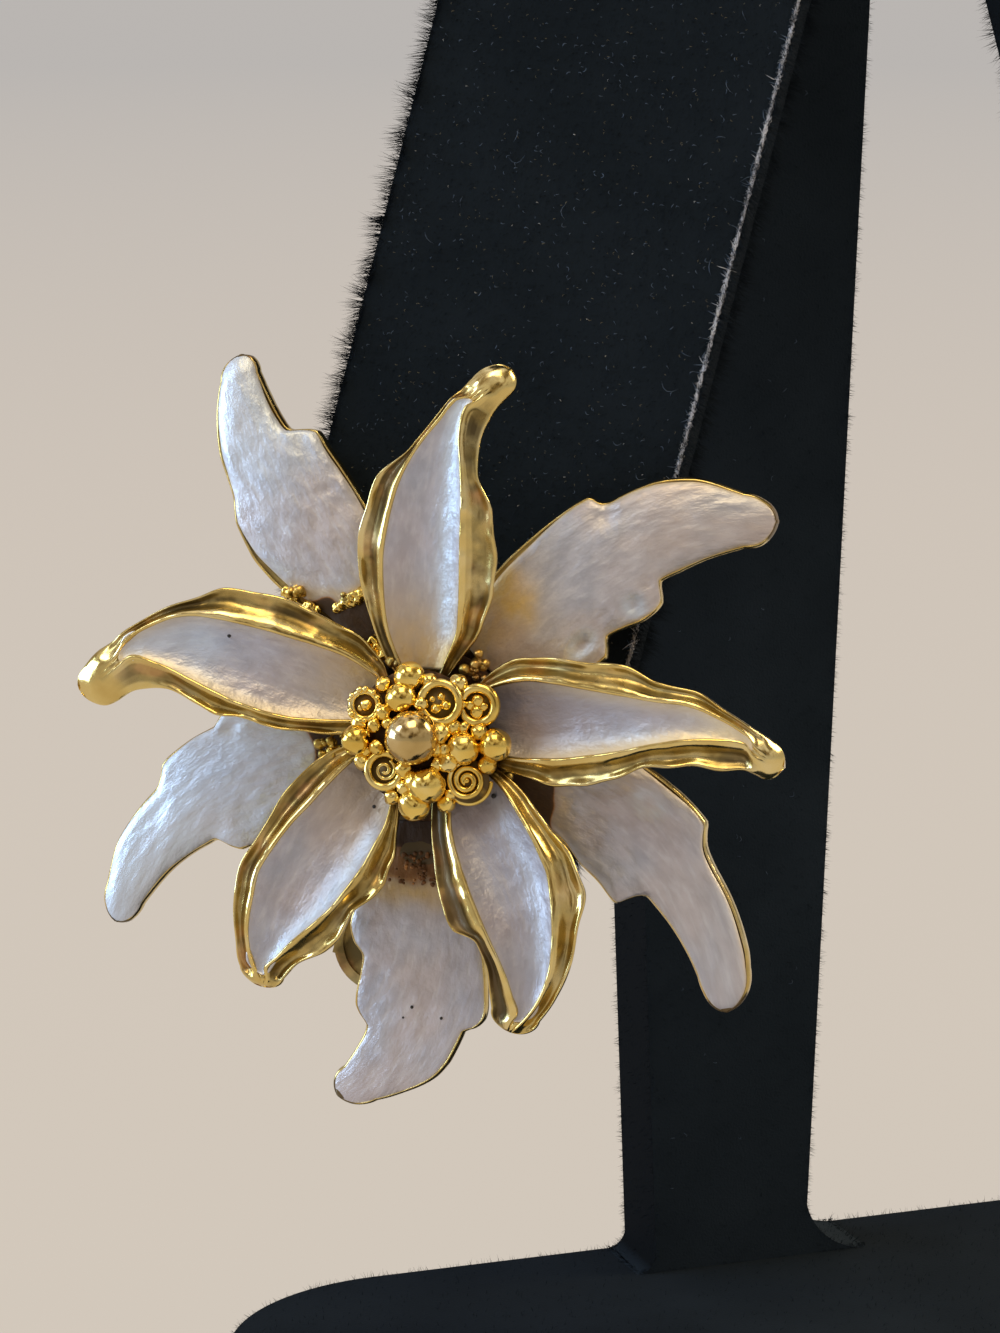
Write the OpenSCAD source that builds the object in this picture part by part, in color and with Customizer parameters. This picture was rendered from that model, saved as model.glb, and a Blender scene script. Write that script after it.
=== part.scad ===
// A clip-on flower earring, gold-tone metal with pearl enamel, on a plain two-flap display stand.
// The stand's base lies on z = 0, its front faces -Y, and the earring hangs on the flap at -X.

/* [Flower] */
// Reach of the longest front petal from the flower's centre
front_reach = 18.8; // [15:0.1:22]
// Reach of the longest back petal from the flower's centre
back_reach = 21.8; // [18:0.1:25]
// Distance from the flower's centre at which the petals start
petal_root = 2.4; // [1.8:0.1:3]
// Rise of the front petals above their root
front_rise = 2.2; // [1.2:0.1:3.2]
// Drop of the front petals' tips
front_tip_drop = 0.8; // [0:0.1:1.5]
// Rise of the back petals above their root
back_rise = 0.6; // [0.2:0.1:1]
// Drop of the back petals' tips
back_tip_drop = 0.5; // [0:0.1:1.5]
// Turn of the whole flower in its plane, in degrees
flower_roll = 2.3; // [-10:0.1:10]

/* [Casting] */
// Thickness of the metal under the enamel
metal_t = 0.5; // [0.4:0.05:0.8]
// Thickness of the metal at a petal's outer lip
lip_t = 0.35; // [0.25:0.05:0.6]
// Width of the crest on each side of a front petal's channel
crest_w = 0.2; // [0.1:0.02:0.3]
// Depth of a front channel's hollow as a share of its width
hollow = 0.22; // [0.1:0.01:0.3]
// Depth of the valley outside a crest
valley_drop = 0.6; // [0.3:0.05:0.9]
// Height of the crest above the outer lip
lip_drop = 0.35; // [0.1:0.05:0.6]
// Width of the bare metal edge round a back petal
rim_w = 0.25; // [0.15:0.05:0.4]
// Fall of a back petal's surface from its middle to its edges
camber = 0.25; // [0:0.05:0.5]

/* [Enamel] */
// Thickness of the enamel
enamel_t = 0.4; // [0.25:0.05:0.6]
// Distance of the enamel's skin below the metal edge beside it
enamel_sink = 0.08; // [0.02:0.01:0.15]
// Gap between the enamel and the metal
enamel_fit = 0.04; // [0.02:0.01:0.08]

/* [Stamens] */
// Radius of the stamen cluster
cluster_r = 4.2; // [3.6:0.1:4.8]
// Diameter of the centre ball
ball_d = 2.7; // [2:0.1:3]
// Thickness of the wire of a cup's rim
cup_wire = 0.5; // [0.3:0.05:0.7]

/* [Clip] */
// Width of the clip's plate
clip_w = 5; // [4.4:0.1:6]
// Thickness of the clip's plate and rim
plate_t = 0.7; // [0.5:0.05:1]
// Height of the rim round the plate's lower end
rim_h = 0.2; // [0.1:0.05:0.4]
// Distance of the hinge pin below the flower's centre
hinge_drop = 11.3; // [10.5:0.1:13]
// Reach of the plate above the flower's centre
plate_rise = 3; // [1:0.1:4]
// Diameter of the hinge pin
pin_d = 1; // [0.8:0.05:1.2]
// Radial clearance of the pin in the lugs
pin_fit = 0.02; // [0.01:0.01:0.05]
// Clearance of the lever round the pin and between the lugs
lever_fit = 0.08; // [0.05:0.01:0.12]
// Thickness of each lug
lug_t = 0.6; // [0.4:0.05:0.8]
// Diameter of the lever's pad
pad_d = 8.4; // [7:0.1:9.5]
// Thickness of the lever
lever_t = 0.8; // [0.6:0.05:1]
// Width of the lever's stem
stem_w = 3; // [2.4:0.1:3.4]
// Clearance between the clip and the flap
clip_fit = 0.1; // [0.05:0.01:0.3]

/* [Stand] */
// Width of the base
base_w = 65; // [58:1:80]
// Depth of the base
base_d = 53.4; // [52:0.2:70]
// Thickness of the base
base_t = 5; // [3:0.5:8]
// Radius of the base's corners
base_corner = 12; // [6:1:16]
// Height of the underside of the stand's top
flap_top_z = 88; // [84:1:89]
// Thickness of the stand's top
top_t = 6; // [4:0.5:10]
// Width of the post above its foot
post_foot_w = 9.5; // [7:0.1:12]
// Width of the post at its upper end
post_top_w = 16; // [12:0.1:22]
// Thickness of the post
post_t = 5; // [4:0.1:7]
// Distance of the post's middle behind the middle of the base
post_back = 24.2; // [20:0.1:24.2]
// Radius of the fillet at the right of the post's foot
foot_fillet = 4; // [2:0.1:5]
// Radius of the fillet at the left of the post's foot
foot_nick = 1.2; // [0.5:0.1:5]
// Width of a flap
flap_w = 18.2; // [16:0.1:18.5]
// Thickness of a flap
flap_t = 3.5; // [3:0.1:4]
// Radius of the corners at a flap's lower end
flap_corner = 6; // [3:0.1:8]
// Reach of a flap below the flower's centre
flap_drop = 8.2; // [7:0.1:9]
// Turn of each flap away from straight ahead, in degrees
flap_yaw = 32; // [26:0.5:36]
// Lean of each flap's upper end to the rear, in degrees
flap_lean = 10; // [6:0.5:12]
// Slant of each flap in its own plane, in degrees
flap_slant = 12.5; // [11:0.5:14]
// Distance of the flower's centre from the middle plane of the stand
flower_x = 26.85; // [26:0.05:29]
// Distance of the flower's centre in front of the middle of the base
flower_front = 1; // [-2:0.1:4]
// Height of the flower's centre above the table
flower_z = 44; // [40:0.5:50]

/* [Hidden] */
$fn = 48;

gold = "goldenrod";
pearl = "lavenderblush";
velvet = [0.07, 0.07, 0.08];

// Heights in the flower's own frame, where z points out of the flower
front_level = 0.6;
front_hub_floor = -1.2;
front_hub_top = -0.4;
front_hub_r = 4.4;
seam = 0.05;
back_level = -2;
back_plate_t = 0.9;
back_boss_r = 3;
back_hub_r = 4.4;
back_floor = back_level - back_plate_t;
plate_front = back_floor - seam;
plate_back = plate_front - plate_t;
flap_front = plate_back - clip_fit;
flap_back = flap_front - flap_t;
lever_front = flap_back - clip_fit;
pin_z = lever_front - lever_t / 2;

// The clip lies a little to the left of the flower's middle, and the flap of the clip's
clip_shift = -0.1;
flap_shift = -0.4;

// The back star sits a little to the left of the front star
back_shift = -0.22;

// Each petal: direction in degrees, share of the reach, sweep of the tip as a share of the
// petal's length, power of the bend, and its outline
DIRECTION = 0;
REACH = 1;
SWEEP = 2;
BEND = 3;
OUTLINE = 4;

// Outline rows: along, left lip, left crest, right crest, right lip, channel.
// Along is a share of the way from root to tip. The four sides are shares of the petal's
// length, positive to the left. The channel is 1 where it is open and 0 where it is closed.
ALONG = 0;
LIP_LEFT = 1;
CREST_LEFT = 2;
CREST_RIGHT = 3;
LIP_RIGHT = 4;
FRONT_CHANNEL = 5;

FRONT_PETALS = [
    [88, 1.00, -0.21, 3.5, [
        [0.00, 0.045, 0.030, -0.030, -0.045, 0],
        [0.08, 0.100, 0.070, -0.062, -0.090, 1],
        [0.20, 0.145, 0.105, -0.100, -0.160, 1],
        [0.30, 0.172, 0.115, -0.104, -0.180, 1],
        [0.40, 0.190, 0.120, -0.101, -0.192, 1],
        [0.50, 0.182, 0.115, -0.094, -0.178, 1],
        [0.60, 0.168, 0.107, -0.080, -0.160, 1],
        [0.70, 0.100, 0.078, -0.051, -0.092, 1],
        [0.80, 0.070, 0.050, -0.006, -0.064, 1],
        [0.86, 0.060, 0.040, 0.010, -0.055, 1],
        [0.89, 0.050, 0.020, -0.005, -0.052, 0],
        [0.96, 0.028, 0.002, -0.022, -0.052, 0],
        [1.00, 0.004, -0.010, -0.024, -0.036, 0]]],
    [151, 0.886, 0.38, 3.5, [
        [0.00, 0.055, 0.035, -0.040, -0.060, 0],
        [0.08, 0.115, 0.070, -0.095, -0.135, 1],
        [0.20, 0.160, 0.120, -0.107, -0.171, 1],
        [0.30, 0.185, 0.149, -0.100, -0.182, 1],
        [0.40, 0.193, 0.159, -0.092, -0.185, 1],
        [0.50, 0.193, 0.155, -0.091, -0.188, 1],
        [0.60, 0.198, 0.135, -0.097, -0.187, 1],
        [0.70, 0.164, 0.097, -0.107, -0.144, 1],
        [0.80, 0.109, 0.034, -0.090, -0.115, 1],
        [0.87, 0.088, -0.010, -0.062, -0.090, 1],
        [0.90, 0.083, 0.004, -0.030, -0.070, 0],
        [0.96, 0.080, 0.024, 0.000, -0.045, 0],
        [1.00, 0.045, 0.020, 0.004, -0.018, 0]]],
    [223, 0.774, 0.275, 2, [
        [0.00, 0.055, 0.035, -0.040, -0.065, 0],
        [0.08, 0.120, 0.092, -0.110, -0.170, 1],
        [0.20, 0.190, 0.143, -0.117, -0.205, 1],
        [0.30, 0.234, 0.158, -0.122, -0.212, 1],
        [0.40, 0.252, 0.168, -0.136, -0.212, 1],
        [0.50, 0.243, 0.161, -0.146, -0.214, 1],
        [0.60, 0.212, 0.146, -0.154, -0.222, 1],
        [0.70, 0.204, 0.110, -0.137, -0.202, 1],
        [0.80, 0.163, 0.058, -0.119, -0.171, 1],
        [0.88, 0.090, 0.018, -0.090, -0.140, 1],
        [0.93, 0.058, -0.012, -0.062, -0.112, 1],
        [0.97, 0.032, 0.000, -0.035, -0.082, 0],
        [1.00, 0.006, -0.010, -0.028, -0.044, 0]]],
    [303, 0.803, -0.26, 4, [
        [0.00, 0.060, 0.040, -0.030, -0.055, 0],
        [0.08, 0.150, 0.125, -0.040, -0.110, 1],
        [0.20, 0.180, 0.150, -0.086, -0.164, 1],
        [0.30, 0.182, 0.154, -0.107, -0.193, 1],
        [0.40, 0.197, 0.158, -0.119, -0.218, 1],
        [0.50, 0.228, 0.158, -0.123, -0.227, 1],
        [0.60, 0.230, 0.140, -0.119, -0.220, 1],
        [0.70, 0.184, 0.120, -0.104, -0.145, 1],
        [0.80, 0.159, 0.100, -0.076, -0.130, 1],
        [0.90, 0.110, 0.065, -0.035, -0.108, 1],
        [0.95, 0.072, 0.034, -0.010, -0.090, 1],
        [0.98, 0.046, 0.010, -0.022, -0.072, 0],
        [1.00, 0.016, -0.006, -0.022, -0.040, 0]]],
    [9, 0.974, -0.235, 2.5, [
        [0.00, 0.050, 0.035, -0.035, -0.050, 0],
        [0.08, 0.130, 0.102, -0.085, -0.115, 1],
        [0.20, 0.173, 0.115, -0.109, -0.160, 1],
        [0.30, 0.166, 0.102, -0.114, -0.184, 1],
        [0.40, 0.155, 0.086, -0.106, -0.180, 1],
        [0.50, 0.148, 0.075, -0.090, -0.161, 1],
        [0.60, 0.116, 0.070, -0.062, -0.120, 1],
        [0.70, 0.113, 0.076, -0.030, -0.097, 1],
        [0.80, 0.085, 0.062, -0.002, -0.076, 1],
        [0.88, 0.062, 0.040, 0.014, -0.060, 1],
        [0.91, 0.052, 0.018, -0.006, -0.054, 0],
        [0.96, 0.030, 0.006, -0.014, -0.044, 0],
        [1.00, 0.006, -0.004, -0.016, -0.024, 0]]]
];

// Outline rows of a back petal: along, left edge, right edge, channel
EDGE_LEFT = 1;
EDGE_RIGHT = 2;
BACK_CHANNEL = 3;

BACK_PETALS = [
    [122, 1.00, -0.085, 4, [
        [0.00, 0.046, -0.061, 0],
        [0.14, 0.057, -0.083, 1],
        [0.26, 0.072, -0.108, 1],
        [0.38, 0.116, -0.137, 1],
        [0.46, 0.137, -0.155, 1],
        [0.52, 0.146, -0.154, 1],
        [0.60, 0.144, -0.148, 1],
        [0.68, 0.121, -0.137, 1],
        [0.73, 0.117, -0.131, 1],
        [0.75, 0.116, -0.110, 1],
        [0.77, 0.115, -0.068, 1],
        [0.81, 0.108, -0.057, 1],
        [0.88, 0.089, -0.046, 1],
        [0.94, 0.065, -0.036, 1],
        [0.975, 0.045, -0.028, 1],
        [1.00, 0.014, -0.012, 0]]],
    [186, 0.817, 0.455, 3, [
        [0.00, 0.080, -0.080, 0],
        [0.14, 0.126, -0.132, 1],
        [0.26, 0.152, -0.168, 1],
        [0.38, 0.176, -0.179, 1],
        [0.46, 0.192, -0.182, 1],
        [0.485, 0.195, -0.168, 1],
        [0.51, 0.198, -0.152, 1],
        [0.58, 0.198, -0.156, 1],
        [0.64, 0.190, -0.156, 1],
        [0.665, 0.166, -0.152, 1],
        [0.69, 0.119, -0.128, 1],
        [0.72, 0.110, -0.112, 1],
        [0.78, 0.090, -0.113, 1],
        [0.85, 0.069, -0.110, 1],
        [0.92, 0.054, -0.085, 1],
        [0.97, 0.040, -0.058, 1],
        [1.00, 0.012, -0.014, 0]]],
    [270, 0.858, -0.27, 4, [
        [0.00, 0.048, -0.072, 0],
        [0.12, 0.070, -0.098, 0],
        [0.24, 0.104, -0.131, 0],
        [0.33, 0.126, -0.165, 1],
        [0.41, 0.147, -0.197, 1],
        [0.48, 0.166, -0.207, 1],
        [0.55, 0.187, -0.192, 1],
        [0.60, 0.203, -0.158, 1],
        [0.66, 0.219, -0.150, 1],
        [0.685, 0.208, -0.147, 1],
        [0.71, 0.178, -0.145, 1],
        [0.78, 0.178, -0.128, 1],
        [0.80, 0.175, -0.108, 1],
        [0.82, 0.170, -0.070, 1],
        [0.90, 0.119, -0.053, 1],
        [0.96, 0.070, -0.041, 1],
        [1.00, 0.018, -0.012, 0]]],
    [340, 0.876, -0.42, 4, [
        [0.00, 0.063, -0.055, 0],
        [0.14, 0.096, -0.083, 1],
        [0.26, 0.127, -0.107, 1],
        [0.38, 0.139, -0.136, 1],
        [0.48, 0.151, -0.166, 1],
        [0.58, 0.150, -0.176, 1],
        [0.67, 0.146, -0.184, 1],
        [0.69, 0.124, -0.180, 1],
        [0.71, 0.106, -0.130, 1],
        [0.73, 0.098, -0.103, 1],
        [0.77, 0.093, -0.096, 1],
        [0.84, 0.094, -0.080, 1],
        [0.91, 0.092, -0.062, 1],
        [0.96, 0.076, -0.048, 1],
        [1.00, 0.024, -0.014, 0]]],
    [46, 0.927, -0.265, 4, [
        [0.00, 0.074, -0.080, 0],
        [0.14, 0.112, -0.137, 1],
        [0.26, 0.152, -0.171, 1],
        [0.40, 0.164, -0.190, 1],
        [0.42, 0.164, -0.178, 1],
        [0.45, 0.164, -0.153, 1],
        [0.52, 0.165, -0.164, 1],
        [0.58, 0.166, -0.174, 1],
        [0.625, 0.164, -0.171, 1],
        [0.645, 0.134, -0.167, 1],
        [0.67, 0.127, -0.156, 1],
        [0.695, 0.129, -0.108, 1],
        [0.76, 0.131, -0.103, 1],
        [0.84, 0.118, -0.090, 1],
        [0.92, 0.077, -0.075, 1],
        [0.97, 0.046, -0.057, 1],
        [1.00, 0.012, -0.018, 0]]]
];

// Stations across the enamel's skin, and across a floor or an underside, as shares of the width
ACROSS = [0, 0.22, 0.5, 0.78, 1];
UNDER = [0, 0.5, 1];

// Stamens: x and y as shares of the cluster's radius, height, radius, and 1 for a rimmed cup
STAMENS = [
    [-0.63, 0.38, 2.20, 0.95, 1],
    [0.33, 0.41, 2.68, 1.15, 1],
    [0.77, 0.38, 2.30, 1.10, 1],
    [0.63, -0.52, 2.35, 1.10, 1],
    [-0.38, -0.40, 2.35, 1.04, 1],
    [-0.06, 0.73, 2.24, 0.80, 0],
    [-0.15, 0.47, 2.55, 0.80, 0],
    [-0.72, -0.04, 2.25, 0.78, 0],
    [0.15, -0.57, 2.45, 0.95, 0],
    [-0.02, -0.82, 2.15, 0.80, 0],
    [0.97, -0.09, 2.20, 0.82, 0],
    [0.60, -0.13, 2.45, 0.84, 0],
    [-0.36, 0.30, 2.65, 0.44, 0],
    [-0.48, 0.14, 2.50, 0.42, 0],
    [-0.45, -0.12, 2.55, 0.44, 0]];
centre_ball = [0.01, 0, 3.2];
core_r = 3.6;
core_foot_r = 2.3;
core_top = 2.1;

// Granules between the front petals: angle in degrees, distance from the centre, size, height
GRANULES = [
    [113, 3.9, 0.50, 0.4], [107, 4.3, 0.34, 0.1], [119, 4.4, 0.30, 0.0],
    [186, 4.4, 0.55, 0.1], [191, 4.9, 0.50, -0.2], [181, 4.9, 0.42, -0.3],
    [262, 4.1, 0.42, 0.2], [268, 4.4, 0.34, 0.0],
    [332, 4.1, 0.46, 0.1], [337, 4.5, 0.40, -0.2],
    [53, 4.2, 0.46, 0.4], [46, 4.4, 0.36, 0.1], [60, 4.5, 0.36, 0.0]];

// Solder grains on the back star: angle in degrees, distance from the centre, size
GRAINS = [
    [153, 4.3, 0.45], [147, 4.1, 0.35], [159, 4.1, 0.35], [228, 4.3, 0.4], [223, 4.1, 0.3],
    [305, 4.3, 0.4], [310, 4.1, 0.3], [12, 4.3, 0.4], [18, 4.1, 0.3]];

function mix(a, b, s) = a + (b - a) * s;

// A petal's length and the two directions at share t of its spine
function petal_length(p, reach) = p[REACH] * reach;

function spine_point(p, reach, t) =
    let (len = petal_length(p, reach))
    [petal_root + (len - petal_root) * t, p[SWEEP] * len * pow(t, p[BEND])];

function spine_side(p, reach, t) =
    let (
        len = petal_length(p, reach),
        slope = p[SWEEP] * len * p[BEND] * pow(t, p[BEND] - 1) / (len - petal_root),
        size = sqrt(1 + slope * slope))
    [-slope / size, 1 / size];

// A point at share t of the spine, side mm to the left of it, at height z
function petal_point(p, reach, t, side, z) =
    let (
        q = spine_point(p, reach, t) + side * spine_side(p, reach, t),
        a = p[DIRECTION])
    [q[0] * cos(a) - q[1] * sin(a), q[0] * sin(a) + q[1] * cos(a), z];

function ring(p, reach, t, profile) =
    [for (q = profile) petal_point(p, reach, t, q[0], q[1])];

// An outline with one more row halfway between each two, on a smooth curve through all of them.
// A new row's channel is open where both of its neighbours' channels are.
function halfway(rows, i) =
    let (
        a = rows[max(0, i - 1)],
        b = rows[i],
        c = rows[i + 1],
        d = rows[min(len(rows) - 1, i + 2)],
        last = len(b) - 1)
    [for (k = [0:last]) k == last ? min(b[k], c[k]) : (9 * (b[k] + c[k]) - a[k] - d[k]) / 16];

function refined(rows) =
    [for (i = [0:len(rows) - 1])
        each i > 1 && i < len(rows) - 1 ? [rows[i], halfway(rows, i)] : [rows[i]]];

// Height of a front petal's crest and of a back petal's edge at share t
function front_height(t) =
    front_level + front_rise * sin(112 * t) - front_tip_drop * pow(t, 6);

function back_height(t) =
    back_level + back_rise * sin(162 * t) - back_tip_drop * t * t;

// The hollow's curve across a channel: 0 at its sides and 1 in its middle
function bowl(s) = 4 * s * (1 - s);

// Side positions of the channel between its two crests, at share s of its width
function crest_at(row, len) = min(crest_w, (row[CREST_LEFT] - row[CREST_RIGHT]) * len / 3);
function channel_left(row, len) = row[CREST_LEFT] * len - crest_at(row, len) / 2;
function channel_right(row, len) = row[CREST_RIGHT] * len + crest_at(row, len) / 2;
function channel_depth(row, len) =
    hollow * (channel_left(row, len) - channel_right(row, len));

function front_floor(row, len, s) =
    row[FRONT_CHANNEL] == 0 ? -wall_slip
    : -(enamel_sink + channel_depth(row, len) * bowl(s) + enamel_t + enamel_fit);
wall_slip = 0.02;

// Profile of a front petal's top from its left lip to its right lip
function front_top(row, len, h) =
    let (
        a = row[LIP_LEFT] * len,
        b = row[CREST_LEFT] * len,
        c = row[CREST_RIGHT] * len,
        d = row[LIP_RIGHT] * len,
        x0 = channel_left(row, len),
        x1 = channel_right(row, len),
        left = min(1, a - b),
        right = min(1, c - d))
    concat(
        [[a, h - lip_drop * left],
         [mix(a, b, 0.45), h - valley_drop * left],
         [b + crest_at(row, len) / 2 * left, h],
         [x0, h]],
        [for (s = UNDER) [mix(x0 - wall_slip, x1 + wall_slip, s), h + front_floor(row, len, s)]],
        [[x1, h],
         [c - crest_at(row, len) / 2 * right, h],
         [mix(d, c, 0.45), h - valley_drop * right],
         [d, h - lip_drop * right]]);

// The underside follows the top, deepest under the middle of the channel
function front_under(row, len, h, s) =
    let (
        edge = lip_drop + lip_t,
        deep = enamel_sink + channel_depth(row, len) + enamel_t + enamel_fit + metal_t,
        belly = row[FRONT_CHANNEL] == 0 ? metal_t : max(deep - edge, metal_t))
    h - edge - belly * bowl(s);

function front_ring(p, row) =
    let (
        len = petal_length(p, front_reach),
        h = front_height(row[ALONG]),
        a = row[LIP_LEFT] * len,
        d = row[LIP_RIGHT] * len)
    ring(p, front_reach, row[ALONG], concat(
        front_top(row, len, h),
        [for (s = UNDER) [mix(d, a, s), front_under(row, len, h, s)]]));

// Profile of the enamel in a front channel
function front_enamel_ring(p, row) =
    let (
        len = petal_length(p, front_reach),
        h = front_height(row[ALONG]),
        x0 = channel_left(row, len) - wall_slip - enamel_fit,
        x1 = channel_right(row, len) + wall_slip + enamel_fit,
        depth = channel_depth(row, len),
        level = h - enamel_sink)
    ring(p, front_reach, row[ALONG], concat(
        [for (s = ACROSS) [mix(x0, x1, s), level - depth * bowl(s)]],
        [for (s = UNDER) [mix(x1, x0, s), level - depth * bowl(s) - enamel_t]]));

// Heights of a back petal across its width, above its edge
function back_rise_at(row, len, s) =
    camber * min(1, (row[EDGE_LEFT] - row[EDGE_RIGHT]) * len / 4) * bowl(s);

function back_floor_at(row, len, s) =
    back_rise_at(row, len, s)
    - (row[BACK_CHANNEL] == 0 ? wall_slip : enamel_sink + enamel_t + enamel_fit);

function back_ring(p, row) =
    let (
        len = petal_length(p, back_reach),
        h = back_height(row[ALONG]),
        a = row[EDGE_LEFT] * len,
        d = row[EDGE_RIGHT] * len,
        rim = min(rim_w, (a - d) / 4),
        x0 = a - rim,
        x1 = d + rim)
    ring(p, back_reach, row[ALONG], concat(
        [[a, h], [x0, h]],
        [for (s = UNDER) [mix(x0 - wall_slip, x1 + wall_slip, s), h + back_floor_at(row, len, s)]],
        [[x1, h], [d, h]],
        [for (s = UNDER) [mix(d, a, s), h - back_plate_t + back_rise_at(row, len, s) / 2]]));

function back_enamel_ring(p, row) =
    let (
        len = petal_length(p, back_reach),
        h = back_height(row[ALONG]),
        x0 = row[EDGE_LEFT] * len - rim_w - wall_slip - enamel_fit,
        x1 = row[EDGE_RIGHT] * len + rim_w + wall_slip + enamel_fit,
        level = h - enamel_sink)
    ring(p, back_reach, row[ALONG], concat(
        [for (s = ACROSS) [mix(x0, x1, s), level + back_rise_at(row, len, s)]],
        [for (s = UNDER) [mix(x1, x0, s), level + back_rise_at(row, len, s) - enamel_t]]));

function quad(a, b, c, d) = [[a, b, c], [a, c, d]];

// A solid through rings of points, with flat ends
module loft(rings) {
    n = len(rings);
    m = len(rings[0]);
    polyhedron(
        points = [for (r = rings) each r],
        faces = concat(
            [for (i = [0:n - 2], k = [0:m - 1])
                each quad(i * m + k, (i + 1) * m + k, (i + 1) * m + (k + 1) % m, i * m + (k + 1) % m)],
            [[for (k = [0:m - 1]) k]],
            [[for (k = [m - 1:-1:0]) (n - 1) * m + k]]));
}

// From the flower's own frame, with z out of the flower, to its place on the left flap
module on_left_flap() {
    translate([-flower_x, -flower_front, flower_z])
        rotate([90 - flap_lean, 0, -flap_yaw])
            children();
}

module in_flower() {
    on_left_flap() rotate([0, 0, flower_roll]) children();
}

// The clip and the flap share one axis, which runs up the flap
module in_clip() {
    on_left_flap() translate([clip_shift, 0, 0]) rotate([0, 0, -flap_slant]) children();
}

module grain(size) {
    hull() {
        sphere(r = size, $fn = 6);
        translate([size * 0.3, size * 0.2, -size * 0.9]) sphere(r = size * 0.8, $fn = 5);
    }
}

module back_star() {
    color(gold) in_flower() translate([back_shift, 0, 0]) {
        translate([0, 0, back_floor]) cylinder(r = back_hub_r, h = back_plate_t);
        translate([0, 0, back_level - seam]) cylinder(r = back_boss_r, h = front_hub_floor - back_level);
        for (p = BACK_PETALS) loft([for (row = refined(p[OUTLINE])) back_ring(p, row)]);
        for (g = GRAINS)
            rotate([0, 0, g[0]]) translate([g[1], 0, back_level]) grain(g[2]);
    }
}

module back_enamel(i) {
    p = BACK_PETALS[i - 1];
    color(pearl) in_flower() translate([back_shift, 0, 0])
        loft([for (row = refined(p[OUTLINE])) if (row[BACK_CHANNEL] == 1) back_enamel_ring(p, row)]);
}

module front_star() {
    color(gold) in_flower() {
        translate([0, 0, front_hub_floor]) cylinder(r = front_hub_r, h = front_hub_top - front_hub_floor);
        for (p = FRONT_PETALS) loft([for (row = refined(p[OUTLINE])) front_ring(p, row)]);
        for (g = GRANULES)
            rotate([0, 0, g[0]]) translate([g[1], 0, g[3]]) grain(g[2]);
    }
}

module front_enamel(i) {
    p = FRONT_PETALS[i - 1];
    color(pearl) in_flower()
        loft([for (row = refined(p[OUTLINE])) if (row[FRONT_CHANNEL] == 1) front_enamel_ring(p, row)]);
}

module stamen_cluster() {
    color(gold) in_flower() {
        translate([0, 0, front_level + seam])
            cylinder(r1 = core_foot_r, r2 = core_r, h = core_top - front_level - seam, $fn = 20);
        translate([centre_ball[0] * cluster_r, centre_ball[1] * cluster_r, centre_ball[2]])
            bead(ball_d / 2, 16);
        for (s = STAMENS)
            translate([s[0] * cluster_r, s[1] * cluster_r, s[2]])
                if (s[4] == 1) cup(s[3]);
                else bead(s[3]);
    }
}

// A ball that runs down into a narrower foot
module bead(r, sides = 10) {
    hull() {
        sphere(r = r, $fn = sides);
        translate([0, 0, -r]) cylinder(r = r / 2, h = r / 4, $fn = sides);
    }
}

// A rimmed cup: a ring of wire on a round foot, with a bead inside
module cup(r) {
    rotate_extrude($fn = 14) translate([r - cup_wire / 2, 0]) circle(d = cup_wire, $fn = 6);
    translate([0, 0, -r]) cylinder(r = r - cup_wire / 2, h = r, $fn = 14);
    translate([0, 0, 0.1]) bead(r * 0.42, 8);
}

module slot_outline(w, y0, y1) {
    translate([0, y0]) circle(d = w);
    translate([0, y1]) circle(d = w);
    translate([-w / 2, y0]) square([w, y1 - y0]);
}

module clip_plate() {
    lug_r = pin_d / 2 + plate_t;
    lug_h = plate_back - pin_z + plate_t / 2;
    color(gold) in_clip() difference() {
        union() {
            translate([0, 0, plate_back]) linear_extrude(plate_t)
                slot_outline(clip_w, -hinge_drop, plate_rise - clip_w / 2);
            translate([0, 0, plate_front - plate_t / 2]) linear_extrude(rim_h + plate_t / 2) difference() {
                slot_outline(clip_w, -hinge_drop, -hinge_drop + clip_w * 0.7);
                slot_outline(clip_w - plate_t * 1.4, -hinge_drop, -hinge_drop + clip_w * 0.7);
            }
            for (side = [-1, 1])
                translate([side * (clip_w - lug_t) / 2, -hinge_drop, pin_z])
                    rotate([0, 90, 0]) linear_extrude(lug_t, center = true) {
                        circle(r = lug_r);
                        translate([-lug_h, -lug_r]) square([lug_h, 2 * lug_r]);
                    }
        }
        translate([0, -hinge_drop, pin_z]) rotate([0, 90, 0])
            cylinder(d = pin_d + 2 * pin_fit, h = clip_w + 2, center = true);
    }
}

module hinge_pin() {
    color(gold) in_clip()
        translate([0, -hinge_drop, pin_z]) rotate([0, 90, 0])
            cylinder(d = pin_d, h = clip_w + 0.4, center = true);
}

module clip_lever() {
    eye_r = pin_d / 2 + lever_fit + lever_t / 2;
    eye_w = clip_w - 2 * lug_t - 2 * lever_fit;
    pad_y = -pad_d / 8;
    color(gold) in_clip() difference() {
        union() {
            translate([0, -hinge_drop, pin_z]) rotate([0, 90, 0])
                cylinder(r = eye_r, h = eye_w, center = true);
            translate([-stem_w / 2, -hinge_drop, pin_z - lever_t / 2])
                cube([stem_w, hinge_drop + pad_y, lever_t]);
            translate([0, pad_y, pin_z - lever_t / 2]) cylinder(d = pad_d, h = lever_t);
        }
        translate([0, -hinge_drop, pin_z]) rotate([0, 90, 0])
            cylinder(d = pin_d + 2 * lever_fit, h = clip_w, center = true);
        translate([0, pad_y, pin_z - lever_t]) cylinder(d = pad_d * 0.3, h = 2 * lever_t);
    }
}

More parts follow.
